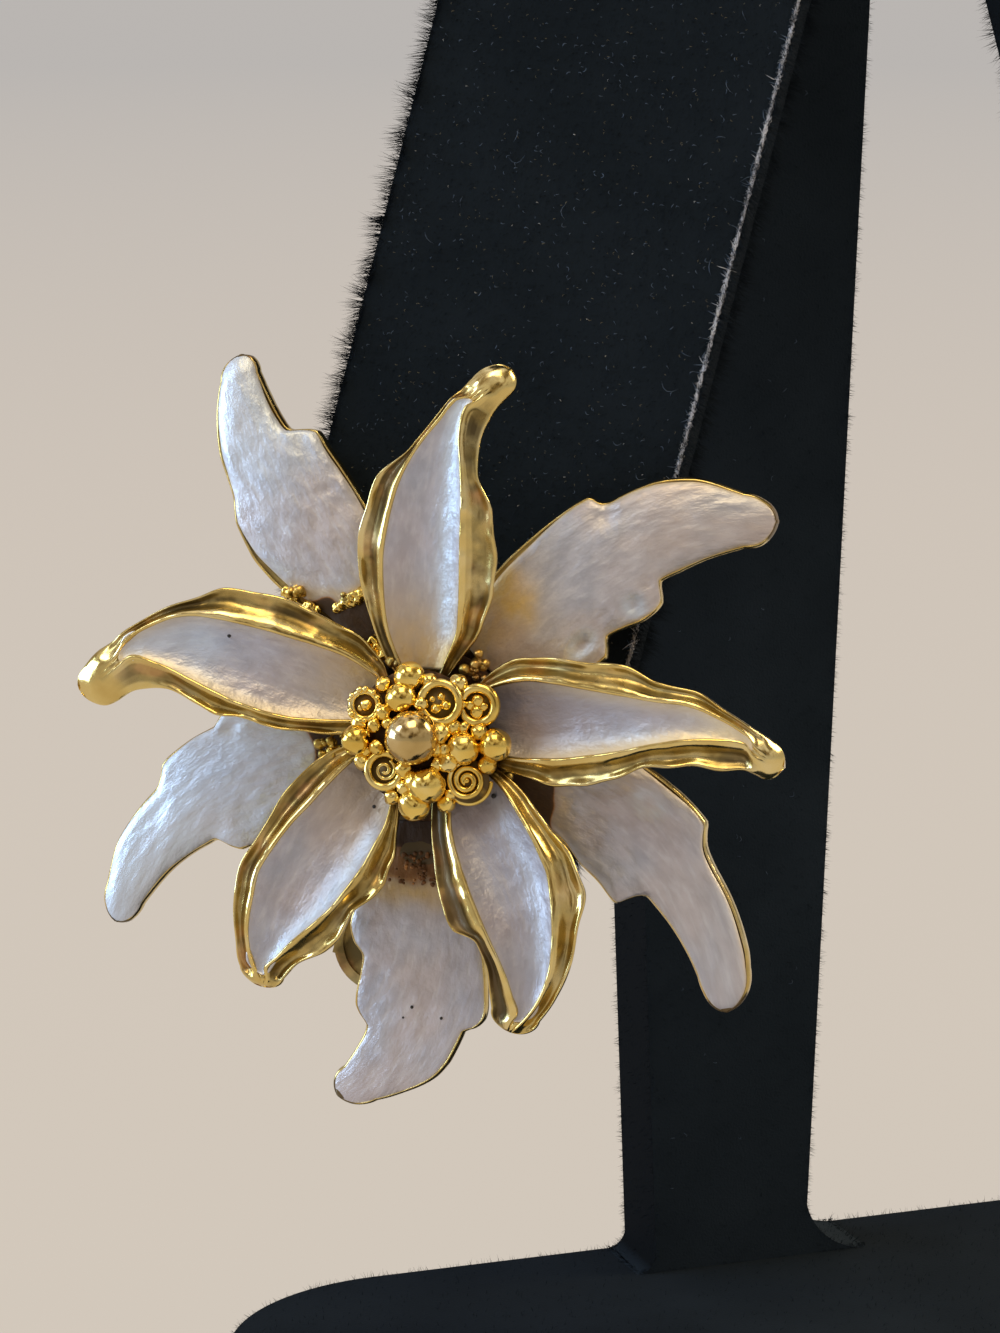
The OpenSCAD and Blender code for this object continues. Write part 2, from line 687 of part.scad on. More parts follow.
module stand_base() {
    color(velvet) linear_extrude(base_t) {
        square([base_w - 2 * base_corner, base_d], center = true);
        square([base_w, base_d - 2 * base_corner], center = true);
        for (x = [-1, 1], y = [-1, 1])
            translate([x * (base_w / 2 - base_corner), y * (base_d / 2 - base_corner)])
                circle(r = base_corner);
    }
}

module post_outline() {
    h = flap_top_z - base_t;
    half = post_foot_w / 2;
    polygon([[-half, 0], [half, 0], [post_top_w / 2, h], [-post_top_w / 2, h]]);
    for (side = [-1, 1])
        let (r = side > 0 ? foot_fillet : foot_nick)
        difference() {
            translate([side > 0 ? 0 : -half - r, 0]) square([half + r, r]);
            translate([side * (half + r), r]) circle(r = r);
        }
}

module stand_post() {
    color(velvet) translate([0, post_back + post_t / 2, base_t])
        rotate([90, 0, 0]) linear_extrude(post_t) post_outline();
}

// A point of a flap's cut top in the stand's frame, from its side and face in the clip's frame
function flap_corner_point(side, face) =
    let (
        n = [-cos(flap_lean) * sin(flap_yaw), -cos(flap_lean) * cos(flap_yaw), sin(flap_lean)],
        u = [cos(flap_yaw), -sin(flap_yaw), 0],
        v = [sin(flap_lean) * sin(flap_yaw), sin(flap_lean) * cos(flap_yaw), cos(flap_lean)],
        across = u * cos(flap_slant) - v * sin(flap_slant),
        up = u * sin(flap_slant) + v * cos(flap_slant),
        start = [-flower_x, -flower_front, flower_z] + u * clip_shift
            + across * (side + flap_shift) + n * face)
    start + up * (flap_top_z - start[2]) / up[2];

module stand_top() {
    outer_front = flap_corner_point(-flap_w / 2, flap_front);
    outer_back = flap_corner_point(-flap_w / 2, flap_back);
    inner_front = flap_corner_point(flap_w / 2, flap_front);
    margin = 0.6;
    half = [
        [inner_front[0], inner_front[1] - margin],
        [outer_front[0] - margin, outer_front[1] - margin],
        [outer_back[0] - margin, outer_back[1] + margin],
        [-post_top_w / 2, post_back + post_t / 2]];
    color(velvet) translate([0, 0, flap_top_z]) linear_extrude(top_t)
        polygon(concat(half, [for (i = [len(half) - 1:-1:0]) [-half[i][0], half[i][1]]]));
}

module flap() {
    high = 2 * flap_top_z;
    difference() {
        in_clip() translate([flap_shift, 0, flap_back]) linear_extrude(flap_t) {
            translate([-flap_w / 2, flap_corner - flap_drop]) square([flap_w, high]);
            translate([flap_corner - flap_w / 2, -flap_drop])
                square([flap_w - 2 * flap_corner, flap_corner + 1]);
            for (x = [-1, 1])
                translate([x * (flap_w / 2 - flap_corner), flap_corner - flap_drop])
                    circle(r = flap_corner);
        }
        translate([-high, -high, flap_top_z]) cube(2 * high);
    }
}

module stand_flap_left() {
    color(velvet) flap();
}

module stand_flap_right() {
    color(velvet) mirror([1, 0, 0]) flap();
}

stand_base();
stand_post();
stand_top();
stand_flap_left();
stand_flap_right();
clip_plate();
hinge_pin();
clip_lever();
back_star();
front_star();
stamen_cluster();
back_enamel(1);  // back_enamel_1
back_enamel(2);  // back_enamel_2
back_enamel(3);  // back_enamel_3
back_enamel(4);  // back_enamel_4
back_enamel(5);  // back_enamel_5
front_enamel(1);  // front_enamel_1
front_enamel(2);  // front_enamel_2
front_enamel(3);  // front_enamel_3
front_enamel(4);  // front_enamel_4
front_enamel(5);  // front_enamel_5
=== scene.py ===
"""A clip-on flower earring of gold-tone metal and pearl enamel, on a two-flap velvet display stand."""
import math

import bpy
import numpy as np
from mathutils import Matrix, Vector


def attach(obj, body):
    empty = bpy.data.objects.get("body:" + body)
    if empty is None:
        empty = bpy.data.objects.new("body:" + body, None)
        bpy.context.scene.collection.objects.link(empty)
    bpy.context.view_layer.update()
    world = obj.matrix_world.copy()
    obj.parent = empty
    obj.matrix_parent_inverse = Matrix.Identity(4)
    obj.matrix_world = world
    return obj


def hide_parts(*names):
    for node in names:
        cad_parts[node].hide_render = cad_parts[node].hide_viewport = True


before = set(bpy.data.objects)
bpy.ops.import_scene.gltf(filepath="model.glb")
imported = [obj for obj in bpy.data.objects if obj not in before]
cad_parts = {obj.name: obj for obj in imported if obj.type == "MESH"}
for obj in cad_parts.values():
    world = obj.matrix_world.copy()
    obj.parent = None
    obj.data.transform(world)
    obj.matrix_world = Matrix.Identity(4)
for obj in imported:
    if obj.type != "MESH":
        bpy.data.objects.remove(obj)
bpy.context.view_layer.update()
MM = 0.001

# The flower's place and tilt, and the sizes of its stars, as in the part's source, in mm and degrees
FLOWER = np.array([-26.85, -1.0, 44.0])
YAW, LEAN, SLANT, ROLL = 32, 10, 12.5, 2.3
CLIP_SHIFT = -0.1
BACK_SHIFT = -0.22
FRONT_REACH, BACK_REACH = 18.8, 21.8
ROOT = 2.4
FRONT_LEVEL, FRONT_RISE, FRONT_TIP_DROP = 0.6, 2.2, 0.8
BACK_LEVEL, BACK_RISE, BACK_TIP_DROP = -2.0, 0.6, 0.5
LIP_DROP, VALLEY_DROP, LIP_T = 0.35, 0.6, 0.35
HOLLOW = 0.22
CAMBER = 0.25
PLATE_T = 0.9
CLUSTER_R = 4.2
CORE_TOP = 2.1

# How finely the petals are drawn: rings of a round end, rows of a half-round tip, how far round both
# go in degrees, points for each of a section's own, columns across an enamel skin, and rows along
END_STEPS, TIP_ROWS = 4, 12
ROUND_TURN = 86
SPLINE_STEPS = 3
SKIN_COLUMNS = 45
FRONT_METAL_ROWS, FRONT_SKIN_ROWS = 110, 90
BACK_METAL_ROWS, BACK_SKIN_ROWS = 120, 130
WAVE_COUNT = 7

# Shares along at which the enamel starts, and at which the back petals' enamel ends
FRONT_SKIN_START, BACK_SKIN_START, BACK_SKIN_END = 0.06, 0.13, 0.998

# Front petals, as in the part's source: direction, share of the reach, sweep, bend, and rows of
# along, left lip, left crest, right crest and right lip, in thousandths, and 1 where the channel is
FRONT_PETALS = [
    (88, 1.0, -0.21, 3.5, [
        (0, 45, 30, -30, -45, 0), (80, 100, 70, -62, -90, 1), (200, 145, 105, -100, -160, 1),
        (300, 172, 115, -104, -180, 1), (400, 190, 120, -101, -192, 1), (500, 182, 115, -94, -178, 1),
        (600, 168, 107, -80, -160, 1), (700, 100, 88, -51, -92, 1), (800, 70, 61, -6, -64, 1),
        (860, 60, 51, 10, -55, 1), (890, 50, 20, -5, -52, 0), (960, 28, 2, -22, -52, 0),
        (1000, 4, -10, -24, -36, 0)]),
    (151, 0.886, 0.38, 3.5, [
        (0, 55, 35, -40, -60, 0), (80, 115, 70, -95, -135, 1), (200, 160, 120, -107, -171, 1),
        (300, 185, 149, -100, -182, 1), (400, 193, 159, -92, -185, 1), (500, 193, 155, -91, -188, 1),
        (600, 198, 135, -97, -187, 1), (700, 164, 97, -107, -144, 1), (800, 109, 34, -90, -115, 1),
        (870, 88, -10, -62, -90, 1), (900, 83, 4, -30, -70, 0), (960, 80, 24, 0, -45, 0),
        (1000, 45, 20, 4, -18, 0)]),
    (223, 0.774, 0.275, 2, [
        (0, 55, 35, -40, -65, 0), (80, 120, 92, -110, -170, 1), (200, 190, 143, -117, -205, 1),
        (300, 234, 158, -122, -212, 1), (400, 252, 168, -136, -212, 1), (500, 243, 161, -146, -214, 1),
        (600, 212, 146, -154, -222, 1), (700, 204, 110, -137, -202, 1), (800, 163, 58, -119, -171, 1),
        (880, 90, 18, -90, -140, 1), (930, 58, -12, -62, -112, 1), (970, 32, 0, -35, -82, 0),
        (1000, 6, -10, -28, -44, 0)]),
    (303, 0.803, -0.26, 4, [
        (0, 60, 40, -30, -55, 0), (80, 150, 125, -40, -110, 1), (200, 190, 150, -86, -164, 1),
        (300, 205, 154, -107, -193, 1), (400, 222, 158, -119, -218, 1), (500, 243, 158, -123, -227, 1),
        (600, 248, 140, -119, -220, 1), (700, 196, 120, -104, -145, 1), (800, 159, 100, -76, -130, 1),
        (900, 110, 65, -35, -108, 1), (950, 72, 34, -10, -90, 1), (980, 46, 10, -22, -72, 0),
        (1000, 16, -6, -22, -40, 0)]),
    (9, 0.974, -0.235, 2.5, [
        (0, 50, 35, -35, -50, 0), (80, 130, 102, -85, -115, 1), (200, 173, 115, -109, -160, 1),
        (300, 166, 102, -114, -184, 1), (400, 155, 86, -106, -180, 1), (500, 148, 75, -90, -161, 1),
        (600, 116, 70, -62, -120, 1), (700, 113, 76, -30, -97, 1), (800, 85, 62, -2, -76, 1),
        (880, 62, 40, 14, -60, 1), (910, 52, 18, -6, -54, 0), (960, 30, 6, -14, -44, 0),
        (1000, 6, -4, -16, -24, 0)]),
]

# Back petals: the same, with rows of along, left edge and right edge, in thousandths, and 1 where
# the channel is
BACK_PETALS = [
    (122, 1.0, -0.085, 4, [
        (0, 46, -61, 0), (140, 57, -83, 1), (260, 72, -108, 1), (380, 116, -137, 1), (460, 137, -155, 1),
        (520, 146, -154, 1), (600, 144, -148, 1), (680, 121, -137, 1), (730, 117, -131, 1),
        (750, 116, -110, 1), (770, 115, -68, 1), (810, 108, -57, 1), (880, 89, -46, 1), (940, 65, -36, 1),
        (975, 45, -28, 1), (1000, 14, -12, 0)]),
    (186, 0.817, 0.455, 3, [
        (0, 80, -80, 0), (140, 126, -132, 1), (260, 152, -168, 1), (380, 176, -179, 1), (460, 192, -182, 1),
        (485, 195, -168, 1), (510, 198, -152, 1), (580, 198, -156, 1), (640, 190, -156, 1),
        (665, 166, -152, 1), (690, 119, -128, 1), (720, 110, -112, 1), (780, 90, -113, 1),
        (850, 69, -110, 1), (920, 54, -85, 1), (970, 40, -58, 1), (1000, 12, -14, 0)]),
    (270, 0.858, -0.27, 4, [
        (0, 48, -72, 0), (120, 70, -98, 0), (240, 104, -131, 0), (330, 126, -165, 1), (410, 147, -197, 1),
        (480, 166, -207, 1), (550, 187, -192, 1), (600, 203, -158, 1), (660, 219, -150, 1),
        (685, 208, -147, 1), (710, 178, -145, 1), (780, 178, -128, 1), (800, 175, -108, 1),
        (820, 170, -70, 1), (900, 119, -53, 1), (960, 70, -41, 1), (1000, 18, -12, 0)]),
    (340, 0.876, -0.42, 4, [
        (0, 63, -55, 0), (140, 96, -83, 1), (260, 127, -107, 1), (380, 139, -136, 1), (480, 151, -166, 1),
        (580, 150, -176, 1), (670, 146, -184, 1), (690, 124, -180, 1), (710, 106, -130, 1),
        (730, 98, -103, 1), (770, 93, -96, 1), (840, 94, -80, 1), (910, 92, -62, 1), (960, 76, -48, 1),
        (1000, 24, -14, 0)]),
    (46, 0.927, -0.265, 4, [
        (0, 74, -80, 0), (140, 112, -137, 1), (260, 152, -171, 1), (400, 164, -190, 1), (420, 164, -178, 1),
        (450, 164, -153, 1), (520, 165, -164, 1), (580, 166, -174, 1), (625, 164, -171, 1),
        (645, 134, -167, 1), (670, 127, -156, 1), (695, 129, -108, 1), (760, 131, -103, 1),
        (840, 118, -90, 1), (920, 77, -75, 1), (970, 46, -57, 1), (1000, 12, -18, 0)]),
]


# Frames
def turned_frame(spin):
    """Axes across, up and out of a plane on the left flap, turned by spin degrees in it."""
    yaw, lean, s = math.radians(YAW), math.radians(LEAN), math.radians(spin)
    u = np.array([math.cos(yaw), -math.sin(yaw), 0])
    v = np.array([math.sin(lean) * math.sin(yaw), math.sin(lean) * math.cos(yaw), math.cos(lean)])
    n = np.array([-math.cos(lean) * math.sin(yaw), -math.cos(lean) * math.cos(yaw), math.sin(lean)])
    return u * math.cos(s) + v * math.sin(s), -u * math.sin(s) + v * math.cos(s), n


FLOWER_AXES = turned_frame(ROLL)


def in_flower(points):
    """Points of the flower's frame, in mm, as points of the row frame, in m."""
    p = np.asarray(points, float)
    x, y, n = FLOWER_AXES
    return (FLOWER + p[..., :1] * x + p[..., 1:2] * y + p[..., 2:3] * n) * MM


# Curves and waves
def smooth_table(rows, column, t, unit=1000):
    """A column of a table at shares t, on a curve that stays between its rows."""
    x = np.array([r[0] for r in rows]) / 1000
    y = np.array([r[column] for r in rows]) / unit
    h = np.diff(x)
    slope = np.diff(y) / h
    m = np.zeros(len(x))
    for i in range(1, len(x) - 1):
        if slope[i - 1] * slope[i] > 0:
            w1, w2 = 2 * h[i] + h[i - 1], h[i] + 2 * h[i - 1]
            m[i] = (w1 + w2) / (w1 / slope[i - 1] + w2 / slope[i])
    m[0], m[-1] = slope[0], slope[-1]
    k = np.clip(np.searchsorted(x, t, side="right") - 1, 0, len(x) - 2)
    s = (t - x[k]) / h[k]
    return (y[k] * (1 + 2 * s) * (1 - s) ** 2 + m[k] * h[k] * s * (1 - s) ** 2
            + y[k + 1] * s * s * (3 - 2 * s) + m[k + 1] * h[k] * s * s * (s - 1))


def has_channel(petal, t):
    """0 to 1: whether the petal has its enamel channel at shares t."""
    return ramp(smooth_table(petal[4], -1, t, 1), 0.1, 0.9)


def waves(seed, *coords):
    """A smooth random field in -1..1 over arrays of coordinates."""
    rng = np.random.default_rng(seed)
    out = 0
    for _ in range(WAVE_COUNT):
        freq = rng.uniform(0.4, 1.7, len(coords)) * rng.choice([-1, 1], len(coords))
        phase = rng.uniform(0, 2 * math.pi)
        out = out + np.sin(sum(f * c for f, c in zip(freq, coords)) + phase)
    return out / WAVE_COUNT ** 0.5 / 1.6


def bowl(s):
    return 4 * s * (1 - s)


def ramp(x, low, high):
    k = np.clip((x - low) / (high - low), 0, 1)
    return k * k * (3 - 2 * k)


def mix(a, b, s):
    return a + (b - a) * s


# Mesh helpers
def mesh_object(name, verts, faces, material, attributes=None, smooth=True, *, slot, replaces=()):
    """An object from points of the row frame, in m, with its material and body. Its slot is not used."""
    mesh = bpy.data.meshes.new(name)
    mesh.from_pydata([tuple(v) for v in verts], [], [tuple(f) for f in faces])
    mesh.validate()
    for key, values in (attributes or {}).items():
        values = np.asarray(values, np.float32)
        if values.ndim == 1:
            mesh.attributes.new(key, "FLOAT", "POINT").data.foreach_set("value", values)
        else:
            mesh.attributes.new(key, "FLOAT_VECTOR", "POINT").data.foreach_set("vector", values.ravel())
    mesh.polygons.foreach_set("use_smooth", [smooth] * len(mesh.polygons))
    mesh.materials.append(material)
    obj = bpy.data.objects.new(name, mesh)
    bpy.context.scene.collection.objects.link(obj)
    if replaces:
        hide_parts(*replaces)
    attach(obj, "stand")
    return obj


def ring_faces(n, m, closed=False, flip=False):
    """Faces of n rings of m points, with the last joined to the first or both ends closed."""
    faces = []
    for i in range(n if closed else n - 1):
        for k in range(m):
            near, far, j = i * m, (i + 1) % n * m, (k + 1) % m
            faces.append((near + k, far + k, far + j, near + j))
    if not closed:
        faces.append(tuple(range(m)))
        faces.append(tuple((n - 1) * m + k for k in range(m - 1, -1, -1)))
    return [(face[0],) + face[:0:-1] for face in faces] if flip else faces


def closed_spline(points, samples):
    """Points on a closed uniform cubic B-spline. points is (..., m, 2)."""
    p0, p1 = np.roll(points, 1, axis=-2), points
    p2, p3 = np.roll(points, -1, axis=-2), np.roll(points, -2, axis=-2)
    out = []
    for k in range(samples):
        u = k / samples
        out.append(((1 - u) ** 3 * p0 + (3 * u ** 3 - 6 * u * u + 4) * p1
                    + (-3 * u ** 3 + 3 * u * u + 3 * u + 1) * p2 + u ** 3 * p3) / 6)
    stacked = np.stack(out, axis=-2)
    return stacked.reshape(points.shape[:-2] + (points.shape[-2] * samples, 2))


def petal_points(petal, reach, t, sections):
    """Sections of (side, height) at shares t of a petal's spine, as points of the flower's frame."""
    direction, share, sweep, bend = petal[:4]
    length = reach * share
    a = math.radians(direction)
    t = t[:, None]
    safe = np.maximum(t, 1e-6)
    along = ROOT + (length - ROOT) * t
    lateral = sweep * length * safe ** bend
    slope = sweep * length * bend * safe ** (bend - 1) / (length - ROOT)
    size = np.sqrt(1 + slope * slope)
    side, z = sections[..., 0], sections[..., 1]
    x = along - side * slope / size
    y = lateral + side / size
    return np.stack([x * math.cos(a) - y * math.sin(a), x * math.sin(a) + y * math.cos(a), z], axis=-1)


def steps_to_tip(start, end, count, tip):
    """Shares from start to end, close together over the last tip of the way."""
    turn = np.sin(np.radians(np.linspace(0, ROUND_TURN, TIP_ROWS + 1)))
    return np.concatenate([np.linspace(start, end - tip, count), end - tip + tip * turn[1:]])


def round_tip(a, d, t, end, tip):
    """Draws two edges in to a half round over the last tip of the way, and says how far round it is."""
    mid, half = (a + d) / 2, (a - d) / 2
    turn = np.clip((t - (end - tip)) / tip, 0, 1)
    whole = np.where(turn > 0, np.interp(end - tip, t, half), half)
    half = whole * np.sqrt(1 - turn * turn)
    return mid + half, mid - half, turn, whole


def rounded_end(rings, radius, start=False):
    """Adds rings that close an end of a loft in a round shape."""
    edge, inner = (rings[0], rings[1]) if start else (rings[-1], rings[-2])
    centre = edge.mean(axis=0)
    way = centre - inner.mean(axis=0)
    way = way / np.linalg.norm(way)
    extra = []
    for k in range(1, END_STEPS + 1):
        angle = math.radians(ROUND_TURN) * k / END_STEPS
        extra.append(centre + (edge - centre) * math.cos(angle) + way * radius * math.sin(angle))
    return np.concatenate([extra[::-1], rings]) if start else np.concatenate([rings, extra])


def loft(name, rings, material, radius, attributes, start_radius=None, **kind):
    """A closed piece through rings, with a round far end, and a round near end if asked for."""
    grown = rounded_end(rings, radius)
    if start_radius:
        grown = rounded_end(grown, start_radius, start=True)
    before = END_STEPS if start_radius else 0
    full = {}
    for key, values in attributes.items():
        values = np.concatenate([values[:1]] * before + [values] + [values[-1:]] * END_STEPS)
        full[key] = values.reshape(-1) if values.ndim == 2 else values.reshape(-1, values.shape[-1])
    return mesh_object(name, in_flower(grown).reshape(-1, 3), ring_faces(*grown.shape[:2]), material,
                       full, **kind)


# Shader nodes
def plug(value, socket):
    """Links a value to a socket, or sets the socket to a number or a colour."""
    if isinstance(value, Value):
        socket.id_data.links.new(value.socket, socket)
    elif isinstance(value, tuple):
        socket.default_value = (*value, 1)
    else:
        socket.default_value = value


class Value:
    """A node's output, which adds, subtracts, multiplies, ramps and mixes by more nodes."""

    def __init__(self, socket):
        self.socket = socket

    def node(self, kind, inputs, output=0, **settings):
        n = self.socket.id_data.nodes.new(kind)
        for key, value in settings.items():
            setattr(n, key, value)
        for key, value in inputs.items():
            plug(value, n.inputs[key])
        return Value(n.outputs[output])

    def maths(self, operation, a, b):
        return self.node("ShaderNodeMath", {0: a, 1: b}, operation=operation)

    def __add__(self, other):
        return self.maths("ADD", self, other)

    def __sub__(self, other):
        return self.maths("SUBTRACT", self, other)

    def __rsub__(self, other):
        return self.maths("SUBTRACT", other, self)

    def __mul__(self, other):
        return self.maths("MULTIPLY", self, other)

    def clamp(self):
        self.socket.node.use_clamp = True
        return self

    def ramp(self, *stops):
        """A colour ramp over this value, with stops of place and colour."""
        colour = self.node("ShaderNodeValToRGB", {"Fac": self})
        elements = colour.socket.node.color_ramp.elements
        while len(elements) < len(stops):
            elements.new(0.5)
        for element, (place, tone) in zip(elements, stops):
            element.position = place
            element.color = (*tone, 1)
        return colour

    def mix(self, other, factor, mode="MIX"):
        """This colour mixed with another."""
        return self.node("ShaderNodeMix", {0: factor, 6: self, 7: other}, output=2, data_type="RGBA",
                         blend_type=mode)


def new_material(name):
    """A material, its object coordinates and its shader."""
    mat = bpy.data.materials.new(name)
    mat.use_nodes = True
    place = mat.node_tree.nodes.new("ShaderNodeTexCoord")
    return mat, Value(place.outputs["Object"]), mat.node_tree.nodes["Principled BSDF"]


def noise(place, scale, detail, stretch=(1, 1, 1)):
    """A noise texture's factor over coordinates that may be stretched."""
    if stretch != (1, 1, 1):
        place = place.node("ShaderNodeMapping", {"Vector": place})
        place.socket.node.inputs["Scale"].default_value = stretch
    inputs = {"Vector": place, "Scale": scale, "Detail": detail}
    return place.node("ShaderNodeTexNoise", inputs, output="Fac")


def attribute(place, name, output="Fac"):
    return place.node("ShaderNodeAttribute", {}, output=output, attribute_name=name)


def set_shader(bsdf, **values):
    """Plugs values into the shader's sockets, whose names have _ for a space."""
    for key, value in values.items():
        plug(value, bsdf.inputs[key.replace("_", " ")])


def bump(height, strength, distance):
    return height.node("ShaderNodeBump", {"Height": height, "Strength": strength, "Distance": distance},
                       output="Normal")


# Materials
PALE_GOLD = ((0.66, 0.47, 0.15), (0.82, 0.63, 0.24), (0.9, 0.76, 0.42))
# Painted reflection: deeper, more saturated gold for the stamens, lumps and grains, for the warm light the
# gold pieces throw on each other
WARM_REFLECTION_GOLD = ((0.74, 0.47, 0.08), (0.92, 0.66, 0.17), (0.96, 0.79, 0.36))
# Painted reflection: the centre ball's tones are darker and duller than the other gold, for the darker room
# it mirrors
BALL_PAINTED_REFLECTION_TONES = ((0.5, 0.34, 0.12), (0.64, 0.46, 0.19), (0.8, 0.62, 0.32))


def gold_material(name, tarnish=1.0, rough=0.13, worn=0.0, tones=PALE_GOLD):
    """Plated metal in three tones, with rusty patches where the piece is tarnished."""
    mat, place, bsdf = new_material(name)
    wide, fine = noise(place, 420, 3), noise(place, 1500, 4)
    spots = attribute(place, "tarnish") * tarnish + worn
    patches = (spots * (noise(place, 800, 4) * 2.4 - 0.35).clamp()).clamp()
    deep = ((spots - 0.9) * 0.9).clamp()
    rust = noise(place, 560, 3).ramp((0.4, (0.06, 0.04, 0.016)), (0.54, (0.115, 0.068, 0.024)),
                                     (0.66, (0.42, 0.21, 0.09)))
    rust = rust.mix((0.07, 0.038, 0.014), deep)
    set_shader(bsdf, Base_Color=wide.ramp(*zip((0.3, 0.52, 0.75), tones)).mix(rust, patches * 0.92),
               Metallic=1.0 - deep * patches * 0.85, Roughness=fine * 0.16 + (rough - 0.06) + patches * 0.25,
               Normal=bump(wide + fine * 0.08, 0.45, 0.0003))
    return mat


def enamel_material(name, shade, pearl, pink, blue, amber):
    """Brushed pearl, with amber and painted warm light, painted cool highlights, painted shade, cream, and
    dark brown smudges, rust and painted root shade, by the piece's attributes.
    """
    mat, place, bsdf = new_material(name)
    petal = attribute(place, "petal", "Vector")
    mottle, drift = noise(petal, 1.0, 4, (1.3, 0.8, 1)), noise(petal, 1.0, 2, (0.3, 0.22, 1))
    brush, grain = noise(petal, 1.0, 4, (3.4, 0.9, 1)), noise(petal, 1.0, 3, (9, 6, 1))
    base = mottle.ramp((0.38, shade), (0.6, pearl))
    base = base.mix(drift.ramp((0.38, pink), (0.6, blue)), 0.5)
    base = base.mix((0.76, 0.76, 0.82), (brush - 0.5).clamp() * 1.8)
    # Amber, which on the back petals' tips is painted warm light
    base = base.mix(amber, (attribute(place, "amber") * (mottle + 0.45)).clamp())
    # Painted cool highlight, by the piece's attribute
    base = base.mix((0.66, 0.77, 0.92), (attribute(place, "painted_cool_highlight") * (brush + 0.45)).clamp())
    # Painted shade, by the shade attribute
    base = base.mix((0.3, 0.26, 0.28), attribute(place, "shade"))
    base = base.mix((0.82, 0.69, 0.48), attribute(place, "edge"))
    # Dark brown: smudges and rust, and on the back petals painted shade at the root
    stain = attribute(place, "stain")
    dark = (stain * (grain * 1.6 + 1.2)).clamp()
    dark_brown = stain.ramp((0.2, (0.34, 0.24, 0.2)), (0.42, (0.35, 0.15, 0.035)),
                       (0.62, (0.085, 0.036, 0.014)), (0.95, (0.048, 0.022, 0.009)))
    set_shader(bsdf, Base_Color=base.mix(dark_brown, dark), Metallic=0.42 - dark * 0.4,
               Roughness=mottle * 0.26 + 0.3 + dark * 0.2, Coat_Weight=0.08, Coat_Roughness=0.25,
               Normal=bump(mottle + brush * 0.25 + grain * 0.1, 0.55, 0.00028))
    return mat


def velvet_material(name, level=1.0, painted_shade_left=False):
    """Blue-black velvet, its tones scaled by level, with painted shade on the faces towards -x if asked for.
    """
    mat, place, bsdf = new_material(name)
    tones = [tuple(c * level for c in tone) for tone in ((0.0076, 0.011, 0.0154), (0.0106, 0.015, 0.0208))]
    colour = noise(place, 160, 4).ramp((0.3, tones[0]), (0.7, tones[1]))
    # Painted shade: the faces towards -x are darkened towards near-black, so that the window light on them
    # hardly shows
    if painted_shade_left:
        facing = Value(place.socket.node.outputs["Normal"])
        across = facing.node("ShaderNodeSeparateXYZ", {0: facing})
        colour = colour.mix((0.0035, 0.004, 0.0046), (across * -1.25).clamp())
    set_shader(bsdf, Base_Color=colour, Roughness=1.0, Specular_IOR_Level=0.05, Sheen_Weight=0.012,
               Sheen_Roughness=0.5, Sheen_Tint=(0.62, 0.7, 0.9),
               Normal=bump(noise(place, 7000, 3), 0.4, 0.0001))
    return mat


def plain_material(name, colour, rough=0.8, sheen=0.0):
    mat, place, bsdf = new_material(name)
    shade = noise(place, 900, 2).ramp((0.3, tuple(0.75 * c for c in colour)), (0.7, colour))
    set_shader(bsdf, Base_Color=shade, Roughness=rough, Sheen_Weight=sheen)
    return mat


def brown_material(name, level):
    """Near-black brown with rusty grains."""
    mat, place, bsdf = new_material(name)
    tones = [(0.4, (0.034, 0.017, 0.008)), (0.6, (0.07, 0.033, 0.014)), (0.72, (0.17, 0.08, 0.028))]
    colour = noise(place, 2600, 4).ramp(*((at, tuple(c * level for c in tone)) for at, tone in tones))
    set_shader(bsdf, Base_Color=colour, Roughness=0.7, Specular_IOR_Level=0.15,
               Normal=bump(noise(place, 3000, 3), 0.5, 0.0002))
    return mat


GOLD = gold_material("gold")
DARK_BROWN = brown_material("dark_brown", 1.0)
RUST = brown_material("rust", 3.6)
GOLD_WARM = gold_material("gold_warm", tones=WARM_REFLECTION_GOLD)
# Tarnished gold in the same tones of painted warm reflection
GOLD_DARK = gold_material("gold_wear_and_warm_reflection", tarnish=1.6, rough=0.2, tones=WARM_REFLECTION_GOLD)
BALL_GOLD = gold_material("gold_ball", tarnish=0.0, rough=0.12, tones=BALL_PAINTED_REFLECTION_TONES)
GOLD_CLIP = gold_material("gold_clip", rough=0.26, worn=0.95)
FRONT_ENAMEL = enamel_material("front_enamel", shade=(0.4, 0.385, 0.44), pearl=(0.57, 0.57, 0.66),
                               pink=(0.54, 0.485, 0.54), blue=(0.47, 0.52, 0.66), amber=(0.62, 0.42, 0.15))
BACK_ENAMEL = enamel_material("back_enamel", shade=(0.43, 0.41, 0.45), pearl=(0.61, 0.59, 0.65),
                              pink=(0.58, 0.505, 0.525), blue=(0.49, 0.53, 0.66), amber=(0.62, 0.42, 0.14))
VELVET = velvet_material("velvet")
PILE = velvet_material("velvet_pile")
# The post's velvet is a copy twice as light, painted light for a post the lamps hardly reach, with painted
# shade on its faces towards -x
VELVET_POST_PAINTED_LIGHT = velvet_material("velvet_post_painted_light", 2.0, painted_shade_left=True)
SPECK = plain_material("speck", (0.02, 0.017, 0.015), 0.6)
LINT_WHITE = plain_material("lint_white", (0.8, 0.79, 0.84), sheen=0.3)
LINT_BROWN = plain_material("lint_brown", (0.2, 0.17, 0.11))
LINT_BLUE = plain_material("lint_blue", (0.1, 0.14, 0.22))


# Front star, whose table and lists of five give a value or a row for each petal
def front_height(t):
    return FRONT_LEVEL + FRONT_RISE * np.sin(np.radians(112 * t)) - FRONT_TIP_DROP * t ** 6


